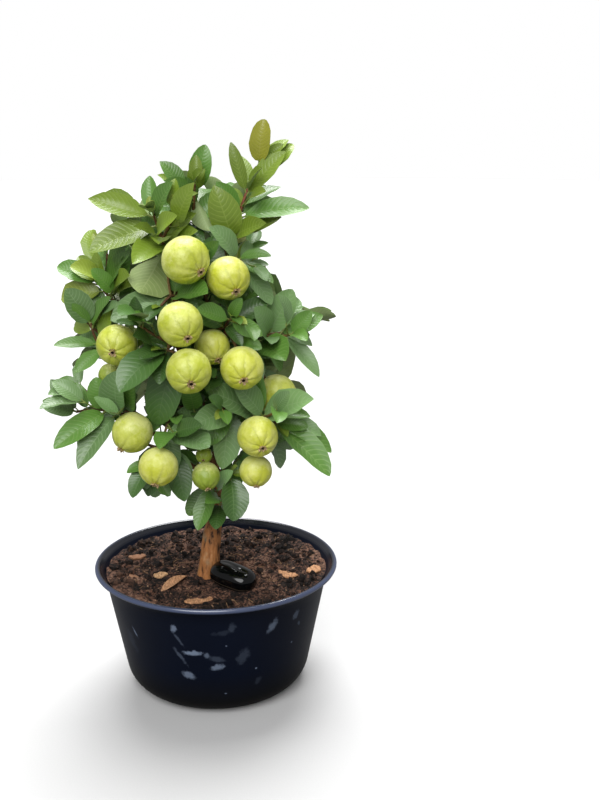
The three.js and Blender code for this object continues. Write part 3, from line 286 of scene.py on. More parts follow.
def wallProfile(inset, steps):  # the rounded foot and straight side, moved in by a distance
    neckFoot = pot["height"] - pot["neckHeight"]
    rise = Vector((pot["neckRadius"] - pot["footRadius"], neckFoot)).normalized()
    corner = pot["cornerRadius"]
    middle = pot["footRadius"] - (corner - corner * rise.x) / rise.y
    turn = -atan2(rise.x, rise.y) * 180 / pi
    side = arc(middle, corner, corner - inset, -90, turn, steps)
    last = side[-1]
    top = (pot["neckRadius"] - inset, neckFoot)
    return side + [(lerp(last[0], top[0], s), lerp(last[1], top[1], s)) for s in np.linspace(0.1, 1, 10)]


def flare(share, rise, inset=0.0):
    radius = lerp(pot["neckRadius"], pot["rimRadius"], share) - inset
    return radius, pot["height"] - pot["neckHeight"] * (1 - rise)


def buildPot():
    lip = pot["lipRadius"]
    outside = wallProfile(0, 10) + [flare(*step) for step in pot["flare"]]
    bead = arc(pot["rimRadius"] - lip, pot["height"] - lip, lip, -60, 170, 10)
    inside = [flare(*pot["flare"][1], pot["wall"])] + wallProfile(pot["wall"], 10)[::-1]
    inside = [(radius, max(height, pot["wall"])) for radius, height in inside]
    shell = turnedProfile("potShell", outside + bead + inside, pot["sides"])
    for i in range(pot["drainHoles"]):
        angle = 2 * pi * i / pot["drainHoles"]
        middle = Vector((cos(angle), sin(angle), 0)) * pot["drainCircle"] * mm
        bpy.ops.mesh.primitive_cylinder_add(
            vertices=24, radius=pot["drainRadius"] * mm, depth=6 * pot["wall"] * mm, location=middle
        )
        drill = bpy.context.object
        applied(shell, "BOOLEAN", operation="DIFFERENCE", object=drill, solver="EXACT")
        bpy.data.objects.remove(drill)
    points = pointsOf(shell)
    angle = np.arctan2(points[:, 1], points[:, 0])
    high = smoothstep(points[:, 2], 20, 90)[:, None]
    sway = (np.sin(2 * angle + 0.7) + 0.6 * np.sin(3 * angle + 2) + 0.4 * np.sin(5 * angle))[:, None]
    points[:, :2] *= 1 - pot["wobble"] / 90 * high * (1 + sway)
    movePoints(shell, points)
    shell.data.materials.append(mouldedPlastic())
    return finished(shell, ["pot"], 35)


# Moulded polypropylene, navy and nearly black: satin, with clouds 45 mm wide, orange peel of 2.4 mm that is
# drawn coarse enough to show, a lip polished by handling whose outer roll is painted lighter, a painted
# highlight as well as rubbed wear, and pale scuffs where it was dragged, with edges ragged by a rub of 4 mm;
# one of these pale marks, just under the lip, is a painted glint.
def mouldedPlastic():
    finish, tree, shader, place = newFinish("mouldedPolypropylene", {"IOR": 1.49, "Specular IOR Level": 0.1})
    cloud = addNode(tree, "TexNoise", {"Scale": 22, "Detail": 4, "Roughness": 0.6}, {"Vector": place})
    rub = addNode(tree, "TexNoise", {"Scale": 230, "Detail": 5, "Roughness": 0.7}, {"Vector": place})
    apart = addNode(tree, "SeparateXYZ", {}, {0: place})
    lip = addNode(tree, "MapRange", {1: 0.0905, 2: 0.0925}, {0: apart.outputs["Z"]})
    level = addNode(tree, "VectorMath", {"operation": "MULTIPLY", 1: (1, 1, 0)}, {0: place})
    across = addNode(tree, "VectorMath", {"operation": "LENGTH"}, {0: level}).outputs["Value"]
    # The outer roll of the lip, painted lighter: a painted highlight, and rubbed wear.
    litAndRubbedRoll = addNode(tree, "MapRange", {1: 0.0874, 2: 0.0899}, {0: across})
    litAndRubbedRoll = addNode(tree, "Math", {"operation": "MULTIPLY"}, {0: lip, 1: litAndRubbedRoll})
    plain = addNode(tree, "MixRGB", {"Color1": pot["plastic"], "Color2": pot["cloudy"]}, {"Fac": cloud})
    low = addNode(tree, "MapRange", {1: 0.036, 2: 0.01, 3: 0, 4: 0.8}, {0: apart.outputs["Z"]})
    plain = addNode(tree, "MixRGB", {"Color2": pot["dust"]}, {"Fac": low, "Color1": plain})
    base = addNode(tree, "MixRGB", {"Color2": pot["lipPlastic"]}, {"Fac": litAndRubbedRoll, "Color1": plain})
    wornAndGlint = None
    # Each a pale ragged mark: the scuffs, and one painted glint under the lip.
    for x, y, z, long, high, slant, strength in pot["scuffs"]:
        around = atan2(y, x) + pi / 2
        where = addNode(tree, "Mapping", {
            "vector_type": "TEXTURE", "Location": (x * mm, y * mm, z * mm),
            "Rotation": (0, radians(-slant), around), "Scale": (long * mm, 8 * mm, high * mm),
        }, {"Vector": place})
        reach = addNode(tree, "VectorMath", {"operation": "LENGTH"}, {0: where}).outputs["Value"]
        ragged = addNode(tree, "Math", {"operation": "MULTIPLY_ADD", 1: 2.4}, {0: rub, 2: reach})
        patch = addNode(tree, "MapRange", {1: 2.35, 2: 1.75, 3: 0, 4: strength**1.4}, {0: ragged})
        wornAndGlint = addNode(tree, "Math", {"operation": "MAXIMUM"}, {0: wornAndGlint, 1: patch}) if wornAndGlint else patch
    strength = addNode(tree, "Math", {"operation": "MULTIPLY", 1: 0.8}, {0: wornAndGlint})
    shade = addNode(tree, "MixRGB", {"Color2": pot["scuff"]}, {"Color1": base, "Fac": strength})
    gloss = addNode(tree, "MapRange", {3: 0.28, 4: 0.42}, {0: cloud})
    polished = addNode(tree, "Math", {"operation": "MULTIPLY_ADD", 1: -0.13}, {0: lip, 2: gloss})
    dull = addNode(tree, "Math", {"operation": "MULTIPLY_ADD", 1: 0.25}, {0: wornAndGlint, 2: polished})
    shine = addNode(tree, "MapRange", {3: 0.1, 4: 1.0}, {0: lip})
    peel = addNode(tree, "TexNoise", {"Scale": 420, "Detail": 2}, {"Vector": place})
    bump = addNode(tree, "Bump", {"Strength": 0.25, "Distance": 0.00012}, {"Height": peel})
    linkUp(tree, shader, {
        "Base Color": shade, "Roughness": dull, "Specular IOR Level": shine, "Normal": bump,
    })
    return finish


buildPot()

# Soil: crumbly potting compost, with clods, fibres and slivers on it.
soil = {
    "edge": (0.25, 0.38),  # where the bed meets the pot's flare: share outwards and share upwards
    "crown": 2.4, "roughness": 0.9, "ground": 91, "foot": (-6, -20), "level": (16, 30),
    "wallGap": 2.3, "sides": 190, "ringStep": 1.0, "spread": 80, "footClear": 9, "seed": 7,
    "lumps": [(15, 1.7), (7, 1.9), (2.6, 0.6)],  # each size of lump: its width and its height
    "black": "#130e0c", "dark": "#2f221c", "brown": "#694a3c", "pale": "#a8866e",
}
edgeRadius, edgeHeight = flare(*soil["edge"], soil["wallGap"])


def soilHeight(x, y):  # the level of the bed, flat where the trunk stands
    share = np.minimum(np.hypot(x, y) / pot["neckRadius"], 1)
    dome = edgeHeight + soil["crown"] * (1 - share * share)
    lumps = np.sin(x * 0.31 + 1) * np.cos(y * 0.27) + 0.6 * np.sin(x * 0.13 - y * 0.39)
    away = smoothstep(np.hypot(x - soil["foot"][0], y - soil["foot"][1]), *soil["level"])
    return lerp(soil["ground"], dome + soil["roughness"] * lumps, away)


def bedded(x, y):  # how far a place is outside the stone and the flakes, 1 at their edge
    nearest = np.full(np.shape(x), 9.0)
    beds = [(*pebble["at"], *pebble["size"][:2], pebble["turn"])] + [flake[:5] for flake in flakes]
    for atX, atY, long, wide, turn in beds:
        across, up = x - atX, y - atY
        c, s = cos(radians(turn)), sin(radians(turn))
        reach = np.hypot((across * c + up * s) / long * 2, (up * c - across * s) / wide * 2)
        nearest = np.minimum(nearest, reach)
    return nearest


def crumbs(points):  # the height that crumbs add over the level of the bed
    rough = sum(ripple(points, size, size) * high for size, high in soil["lumps"])
    fromWall = smoothstep(edgeRadius - np.hypot(points[:, 0], points[:, 1]), 0, 4)
    foot = np.hypot(points[:, 0] - soil["foot"][0], points[:, 1] - soil["foot"][1])
    calm = smoothstep(bedded(points[:, 0], points[:, 1]), 0.7, 1.3)
    return rough * fromWall * (0.15 + 0.85 * calm) * (0.35 + 0.65 * smoothstep(foot, 7, 12))


def soilTop(x, y):
    flat = np.array([(x, y, 0.0)])
    return float(soilHeight(x, y) + crumbs(flat)[0])


def buildSoil():
    gap, step = soil["wallGap"], soil["ringStep"]
    side = [(radius, max(height, gap)) for radius, height in wallProfile(gap, 5)]
    side += [flare(*pot["flare"][0], gap), (edgeRadius, edgeHeight)]
    rings = [(radius, edgeHeight) for radius in np.arange(edgeRadius - step, 1, -step)]
    bed = turnedProfile("soilBed", side + rings, soil["sides"])
    points = pointsOf(bed)
    top = points[:, 2] > edgeHeight - 0.01
    flat = points[top] * [1, 1, 0]
    points[top, 2] = soilHeight(flat[:, 0], flat[:, 1]) + crumbs(flat)
    movePoints(bed, points)
    bed.data.materials.append(compost("pottingCompost", soil["dark"], soil["brown"], soil["pale"]))
    return finished(bed, ["soil"], 80)


# Compost of peat and bark: dull, nearly black where damp, with lighter and redder patches about 40 mm wide
# where it has dried, brown crumbs of 1.3 mm and a grit of 1 mm in the relief.
def compost(name, dark, light, crumb):
    finish, tree, shader, place = newFinish(name, {"Roughness": 0.9, "Specular IOR Level": 0.3})
    patch = addNode(tree, "TexNoise", {"Scale": 26, "Detail": 7, "Roughness": 0.66}, {"Vector": place})
    grain = addNode(tree, "TexVoronoi", {"Scale": 760, "Randomness": 1}, {"Vector": place})
    tint = addNode(tree, "SeparateColor", {}, {0: grain.outputs["Color"]})
    mixed = addNode(tree, "Math", {"operation": "MULTIPLY_ADD", 1: 0.26}, {0: tint, 2: patch})
    shades = [(0.5, soil["black"]), (0.6, dark), (0.74, light), (0.96, crumb)]
    colour = addNode(tree, "ValToRGB", {"stops": shades}, {0: mixed})
    grit = addNode(tree, "TexNoise", {"Scale": 950, "Detail": 5, "Roughness": 0.75}, {"Vector": place})
    bump = addNode(tree, "Bump", {"Strength": 1.0, "Distance": 0.0009}, {"Height": grit})
    linkUp(tree, shader, {"Base Color": colour, "Normal": bump})
    return finish


def scatter(random, count, margin):  # places on the bed, clear of trunk, stone and flakes
    spread, (footX, footY) = soil["spread"], soil["foot"]
    places = []
    while len(places) < count:
        x, y = random.uniform(-spread, spread, 2)
        if hypot(x, y) > spread - 1 - margin or hypot(x - footX, y - footY) < soil["footClear"]:
            continue
        if bedded(np.array(x), np.array(y)) > 1 + margin / 6:
            places.append((x, y))
    return places


clod = {
    "count": 1000, "sizes": (0.5, 3.5), "squash": ((0.8, 0.65, 0.5), (1.25, 1, 0.85)), "lumpiness": 0.22,
    "redPatches": [(-20, -54, 32, 17), (24, -10, 24, 12), (-58, -2, 16, 10)],  # middle and half widths
    "redShare": 0.6, "dry": "#4d382d", "red": "#8c5943",
}


def inRedPatch(x, y):
    return any(hypot((x - atX) / wide, (y - atY) / deep) < 1 for atX, atY, wide, deep in clod["redPatches"])


def buildClods():  # crumbs and clods, each a small ball knocked out of shape
    random = np.random.default_rng(soil["seed"])
    bpy.ops.mesh.primitive_uv_sphere_add(segments=8, ring_count=5, radius=1 * mm)
    ball = bpy.context.object
    shape = pointsOf(ball)
    ballFaces = [tuple(face.vertices) for face in ball.data.polygons]
    bpy.data.objects.remove(ball)
    points, faces, shades = [], [], []
    for x, y in scatter(random, clod["count"], 1):
        size = lerp(*clod["sizes"], random.random() ** 3.2)
        squash = random.uniform(*clod["squash"])
        turn = np.array(Matrix.Rotation(random.uniform(0, 2 * pi), 3, random.normal(size=3)))
        lumpy = shape * (1 + clod["lumpiness"] * random.normal(size=(len(shape), 1)).clip(-1.4, 1.4))
        middle = [x, y, soilTop(x, y) + size * 0.25]
        addCopy(points, faces, (lumpy * squash * size) @ turn.T + middle, ballFaces)
        dry = noise.noise(Vector((x, y, 0)) / 16) + random.uniform(-0.35, 0.35) > 0.05
        shade = 2 if inRedPatch(x, y) and random.random() < clod["redShare"] else int(dry)
        shades += [shade] * len(ballFaces)
    finishes = [
        compost("dampClod", soil["black"], soil["dark"], soil["brown"]),
        compost("dryClod", soil["dark"], clod["dry"], soil["brown"]),
        compost("redClod", soil["dark"], soil["brown"], clod["red"]),
    ]
    clods = fromArrays("soilClods", np.concatenate(points), faces, finishes)
    clods.data.polygons.foreach_set("material_index", shades)
    return finished(clods, sharp=50)


# Coir, rootlets and bark, dry: brown and dull, with a grain about 1 mm wide and 4 mm long.
def woodyBits(name, colour, dark):
    finish, tree, shader, place = newFinish(name, {"Roughness": 0.8, "Specular IOR Level": 0.3})
    streak = addNode(tree, "Mapping", {"Scale": (900, 260, 500)}, {"Vector": place})
    grain = addNode(tree, "TexNoise", {"Scale": 1, "Detail": 4, "Roughness": 0.65}, {"Vector": streak})
    tint = addNode(tree, "ValToRGB", {"stops": [(0.3, dark), (0.62, colour)]}, {0: grain})
    bump = addNode(tree, "Bump", {"Strength": 0.6, "Distance": 0.0003}, {"Height": grain})
    linkUp(tree, shader, {"Base Color": tint, "Normal": bump})
    return finish


def tubeFrame(path):  # directions across a path that turn with it without twisting
    path = np.asarray(path, float)
    along = np.gradient(path, axis=0)
    along /= np.linalg.norm(along, axis=1)[:, None]
    across = np.cross(along[0], [0.31, 0.87, 0.38])
    sides = []
    for tangent in along:
        across = across - tangent * np.dot(across, tangent)
        across /= np.linalg.norm(across)
        sides.append((across, np.cross(tangent, across)))
    return path, sides


def tubePiece(name, tubes, sides, finishes):  # closed round tubes, each (path, radii, which finish)
    points, faces, shades, first = [], [], [], 0
    ring = 2 * pi * np.arange(sides) / sides
    following = [(k, (k + 1) % sides) for k in range(sides)]
    for path, radii, shade in tubes:
        path, frames = tubeFrame(path)
        for place, (across, other), radius in zip(path, frames, radii):
            points.append(place + radius * (np.outer(np.cos(ring), across) + np.outer(np.sin(ring), other)))
        for i in range(len(path) - 1):
            low, high = first + i * sides, first + (i + 1) * sides
            faces += [(low + a, low + b, high + b, high + a) for a, b in following]
        last = first + (len(path) - 1) * sides
        faces += [tuple(first + k for k in reversed(range(sides))), tuple(last + k for k in range(sides))]
        shades += [shade] * ((len(path) - 1) * sides + 2)
        first += len(path) * sides
    piece = fromArrays(name, np.concatenate(points), faces, finishes)
    piece.data.polygons.foreach_set("material_index", shades)
    return piece


fibre = {
    "count": 130, "lengths": (4, 13), "bend": 0.8, "radii": (0.18, 0.38), "tip": 0.12, "clear": 0.35,
    "arch": 0.5, "rootletShare": 0.4, "coir": ("#8d6e50", "#4a3424"), "rootlet": ("#4b3526", "#241810"),
}


def buildFibres(random):  # thin fibres that arch over the soil
    tubes = []
    for x, y in scatter(random, fibre["count"], 5):
        length, heading = random.uniform(*fibre["lengths"]), random.uniform(0, 2 * pi)
        bend = random.uniform(-fibre["bend"], fibre["bend"])
        path = []
        for s in np.linspace(-0.5, 0.5, 6):
            turn = heading + bend * s
            px, py = x + length * s * cos(turn), y + length * s * sin(turn)
            path.append((px, py, soilTop(px, py) + fibre["clear"] + fibre["arch"] * (0.25 - s * s)))
        radii = [fibre["tip"]] + [random.uniform(*fibre["radii"])] * 4 + [fibre["tip"]]
        tubes.append((path, radii, int(random.random() < fibre["rootletShare"])))
    finishes = [woodyBits("coirFibre", *fibre["coir"]), woodyBits("darkRootlet", *fibre["rootlet"])]
    return finished(tubePiece("soilFibres", tubes, 5, finishes), sharp=60)


sliver = {
    "count": 190, "sizes": ((1.0, 0.5, 0.18), (3.6, 1.5, 0.45)), "tilt": 0.25,
    "outline": ((-1, -0.4), (-0.2, -1), (1, -0.3), (0.9, 0.6), (-0.4, 1)), "bark": ("#9c7b60", "#5a4230"),
}


def buildSlivers(random):  # flat slivers of bark, each a small chip of five sides
    count = len(sliver["outline"])
    chip = [tuple(reversed(range(count))), tuple(range(count, 2 * count))]
    chip += [(k, (k + 1) % count, (k + 1) % count + count, k + count) for k in range(count)]
    points, faces = [], []
    for x, y in scatter(random, sliver["count"], 3):
        long, wide, thick = random.uniform(*sliver["sizes"])
        corners = np.array([(sx, sy, sz) for sz in (-1, 1) for sx, sy in sliver["outline"]])
        corners = corners * [long / 2, wide / 2, thick / 2] * random.uniform(0.75, 1.2, (2 * count, 1))
        turn = Matrix.Rotation(random.uniform(0, 2 * pi), 3, "Z")
        turn = turn @ Matrix.Rotation(random.normal() * sliver["tilt"], 3, "X")
        turn = turn @ Matrix.Rotation(random.normal() * sliver["tilt"], 3, "Y")
        middle = [x, y, soilTop(x, y) + 0.5 * thick + 0.25]
        addCopy(points, faces, corners @ np.array(turn).T + middle, chip)
    finishes = [woodyBits("barkSliver", *sliver["bark"])]
    slivers = fromArrays("barkSlivers", np.concatenate(points), faces, finishes)
    return finished(slivers, sharp=30)


pebble = {
    "at": (11.8, -38), "size": (36.2, 23, 17), "turn": -36, "tilt": -8, "sunk": 2.7,
    "roundEnds": 0.62, "flatness": 0.82, "taper": 0.06, "lumps": 0.012,
    "dent": 0.55, "dentWidth": 2.2, "dentBow": (1.2, 4),  # a hollow that winds along its top
    "seamHeight": -3.4, "seamWidth": 0.3, "seamDepth": 0.03, "black": "#040506", "seam": "#6a5c4c",
}


# Polished black basalt: smooth as glass, with a dull pale line along a shallow groove low on its side, and a
# little dust in spots of about 6 mm.
def polishedStone():
    finish, tree, shader, place = newFinish("polishedBasalt", {"IOR": 1.55, "Specular IOR Level": 0.35})
    dust = addNode(tree, "TexNoise", {"Scale": 170, "Detail": 5, "Roughness": 0.7}, {"Vector": place})
    seam = addNode(tree, "Attribute", {"attribute_name": "seam"}).outputs["Fac"]
    spot = addNode(tree, "MapRange", {1: 0.6, 2: 0.75, 3: 0, 4: 0.12}, {0: dust})
    line = addNode(tree, "Math", {"operation": "MULTIPLY_ADD", 1: 0.55}, {0: seam, 2: spot})
    colour = addNode(tree, "MixRGB", {"Color1": pebble["black"], "Color2": pebble["seam"]}, {"Fac": line})
    gloss = addNode(tree, "MapRange", {3: 0.1, 4: 0.5}, {0: line})
    linkUp(tree, shader, {"Base Color": colour, "Roughness": gloss})
    return finish


def bedMatrix(x, y, height, turn, tilt=0):
    place = Matrix.Translation(Vector((x, y, height)) * mm)
    return place @ Matrix.Rotation(radians(turn), 4, "Z") @ Matrix.Rotation(radians(tilt), 4, "Y")


def buildPebble():  # a pill: a ball drawn out along its length, with a dent along its top
    long, wide, high = pebble["size"]
    bpy.ops.mesh.primitive_uv_sphere_add(segments=96, ring_count=48, radius=1 * mm)
    stone = bpy.context.object
    stone.name = "pebble"
    points = pointsOf(stone)
    drawn = np.sin(pi / 2 * np.clip(points[:, 0] / pebble["roundEnds"], -1, 1))
    level = np.sign(points[:, 2]) * np.abs(points[:, 2]) ** pebble["flatness"]
    body = np.stack([
        points[:, 0] * wide / 2 + drawn * (long - wide) / 2, points[:, 1] * wide / 2, level * high / 2,
    ], 1)
    body[:, 1] *= 1 - pebble["taper"] * points[:, 0]
    bow, winding = pebble["dentBow"]
    fromDent = body[:, 1] + bow * np.sin(body[:, 0] / winding)
    dent = np.exp(-((fromDent / pebble["dentWidth"]) ** 2)) * (1 - drawn**8) * (body[:, 2] > 0)
    seam = np.exp(-(((body[:, 2] - pebble["seamHeight"]) / pebble["seamWidth"]) ** 2))
    body[:, 2] -= pebble["dent"] * dent
    body *= 1 - pebble["seamDepth"] * seam[:, None] + pebble["lumps"] * ripple(body, 14, 3)[:, None]
    movePoints(stone, body)
    marked(stone, "seam", seam)
    x, y = pebble["at"]
    height = float(soilHeight(x, y)) - pebble["sunk"] + high / 2
    stone.data.transform(bedMatrix(x, y, height, pebble["turn"], -pebble["tilt"]))
    stone.data.materials.append(polishedStone())
    return finished(stone, ["stone"], 60)


flakes = [  # middle, length, width, turn, curl in degrees, finish
    (-41.5, -19, 11, 9, 20, 14, "pale"), (-31, -35, 31, 8.5, 56, 0, "leaf"),
    (-13, -62, 24, 9, 14, 18, "tan"), (52, -22, 17, 10, -40, 24, "tan"), (72, -15, 15, 10, 60, 12, "tan"),
    (-60, 20, 15, 9, 10, 16, "brown"), (-61, -16, 9, 6, -30, 12, "brown"),
]
flakeForm = {
    "thickness": 1.6, "thinned": 0.75, "sunk": 0.7, "settled": 0.2, "lifted": 0.2, "corners": 7,
    "cuts": (0.74, 0.96), "bow": 0.22, "warp": 0.35, "fray": 0.3, "bevel": 0.25, "seed": 40,
    "leafThickness": 0.5, "leafRoundness": 0.8, "leafRim": 0.04, "leafCup": (2.6, 1.3), "leafLifted": 0.5,
    "tan": "#d09d74", "pale": "#dcb184", "brown": "#987056", "leaf": "#d3a37b", "grain": "#80593c",
}


def breakCorners(random):  # cuts the corners off the sheet that is being edited
    for corner in range(flakeForm["corners"]):
        angle = 2 * pi * corner / flakeForm["corners"] + random.uniform(-0.3, 0.3)
        outward = (cos(angle), sin(angle), 0)
        reach = random.uniform(*flakeForm["cuts"])
        bpy.ops.mesh.select_all(action="SELECT")
        bpy.ops.mesh.bisect(plane_co=tuple(reach * c for c in outward), plane_no=outward, clear_outer=True)


def buildFlake(index, values):  # a split flake with broken corners, or a leaf that has dried and curled
    x, y, long, wide, turn, curl, kind = values
    leafy = kind == "leaf"
    bpy.ops.mesh.primitive_grid_add(x_subdivisions=22, y_subdivisions=12, size=2)
    flake = bpy.context.object
    flake.name = "curledLeaf" if leafy else f"barkFlake{index}"
    bpy.ops.object.mode_set(mode="EDIT")
    if not leafy:
        breakCorners(np.random.default_rng(flakeForm["seed"] + index))
    bpy.ops.object.mode_set(mode="OBJECT")
    points = pointsOf(flake) * mm
    if leafy:
        u = (points[:, 0] + 1) / 2
        points[:, 1] *= np.maximum((4 * u * (1 - u)) ** flakeForm["leafRoundness"], flakeForm["leafRim"])
        rise, bend = flakeForm["leafCup"]
        points[:, 2] = rise * np.abs(points[:, 1]) ** bend * (0.5 + u) - flakeForm["settled"]
    points *= [long / 2, wide / 2, 1]
    if not leafy:
        bow = long * radians(curl) * flakeForm["bow"]
        points[:, 2] += bow * (points[:, 0] / long * 2) ** 2 - flakeForm["settled"]
        points[:, 2] += flakeForm["warp"] * ripple(points * [1, 3, 1], 5, index)
        points[:, :2] += flakeForm["fray"] * ripple(points, 2.0, index + 9)[:, None]
    movePoints(flake, points)
    thick = flakeForm["leafThickness"] if leafy else flakeForm["thickness"] * flakeForm["thinned"]
    applied(flake, "SOLIDIFY", thickness=thick * mm, offset=0)
    if not leafy:
        applied(flake, "BEVEL", width=flakeForm["bevel"] * mm, segments=2, limit_method="ANGLE")
    height = float(soilHeight(x, y)) - flakeForm["sunk"] + flakeForm["thickness"] * 0.5
    height += flakeForm["leafLifted" if leafy else "lifted"]
    flake.data.transform(bedMatrix(x, y, height, turn))
    faceOutwards(flake)
    flake.data.materials.append(woodyBits(f"{kind}Flake", flakeForm[kind], flakeForm["grain"]))
    return finished(flake, [f"bark_chip_{index}"], 50)


buildSoil()
buildClods()
litter = np.random.default_rng(soil["seed"] + 1)
buildFibres(litter)
buildSlivers(litter)
buildPebble()
for index, values in enumerate(flakes, 1):
    buildFlake(index, values)
print("soil, stone and flakes ready")


# The tree's skeleton, and the rule that its foliage grows by.
trunkStations = [  # height over the soil, x, y, radius
    (0, -6, -20, 8), (3, -5.8, -19.8, 7.5), (14, -5, -19, 7.2), (27, -3.2, -17.5, 6.9), (40, -1, -15, 5.5),
    (56, 0.6, -12, 4.7), (88, -2, -8, 4.2), (122, -9, -6, 3.6), (162, -17, -8, 3), (206, -23, -10, 2.3),
    (232, -30, -9, 1.8),
]
boughs = {  # parent, height where it leaves it, tip, radii at root and tip, sag
    "right_leader": ("trunk", 168, (16, -10, 331), (3.4, 1.7), -6),
    "top_middle": ("right_leader", 296, (-10, 0, 342), (1.7, 1.4), 0),
    "upper_left": ("trunk", 262, (-69, -8, 294), (2.2, 1.4), 3),
    "mid_left": ("trunk", 232, (-74, -14, 259), (2.4, 1.4), 3),
    "low_left": ("trunk", 186, (-63, -28, 216), (2.6, 1.6), 2),
    "bottom_left": ("trunk", 164, (-26, -34, 191), (2, 1.3), 1),
    "bottom_front": ("trunk", 148, (-1, -26, 160), (1.9, 1.3), 1),
    "low_right": ("right_leader", 186, (29, -36, 213), (2.6, 1.6), 2),
    "mid_right": ("right_leader", 234, (30, -14, 262), (2.2, 1.4), 3),
    "upper_right": ("right_leader", 300, (17, -20, 321), (1.7, 1.3), 1),
    "upper_front": ("trunk", 276, (-25, -30, 298), (1.8, 1.3), 1),
    "front": ("trunk", 244, (-24, -36, 266), (2, 1.4), 1),
    "front_right": ("right_leader", 252, (9, -32, 276), (1.8, 1.3), 1),
    "low_front": ("trunk", 206, (8, -32, 225), (2, 1.4), 1),
    "low_mid": ("trunk", 198, (-23, -34, 224), (2, 1.4), 1),
    "heart_low": ("trunk", 216, (-6, -24, 236), (1.9, 1.4), 0),
    "heart_high": ("right_leader", 272, (-2, -22, 292), (1.7, 1.3), 0),
    "back_top": ("right_leader", 305, (8, 16, 334), (1.6, 1.3), 2),
    "back_upper": ("trunk", 268, (-28, 18, 298), (1.9, 1.4), 2),
    "back_left": ("trunk", 216, (-54, 16, 244), (2.3, 1.5), 3),
    "back_right": ("right_leader", 244, (42, 16, 264), (1.9, 1.4), 3),
    "back_middle": ("trunk", 226, (0, 26, 254), (2.2, 1.5), 3),
    "back_low": ("trunk", 176, (-18, 26, 198), (2.4, 1.5), 2),
    "back_low_right": ("right_leader", 200, (36, 18, 216), (2, 1.5), 2),
}


def randomFrom(seed):  # a repeatable stream of numbers from 0 to 1
    state = (seed * 2654435761) & 0xFFFFFFFF

    def draw():
        nonlocal state
        state = (state * 1664525 + 1013904223) & 0xFFFFFFFF
        return state / 4294967296

    return draw


def mass(name, on, tip, face, sideShoots, pairs, leaf, seed, reach):  # one mass of foliage
    return {
        "name": name, "on": on, "tip": np.array(tip, float), "face": face, "sideShoots": sideShoots,
        "pairs": pairs, "leaf": leaf, "random": randomFrom(seed), "reach": reach, "fruits": [], "leaves": [],
    }


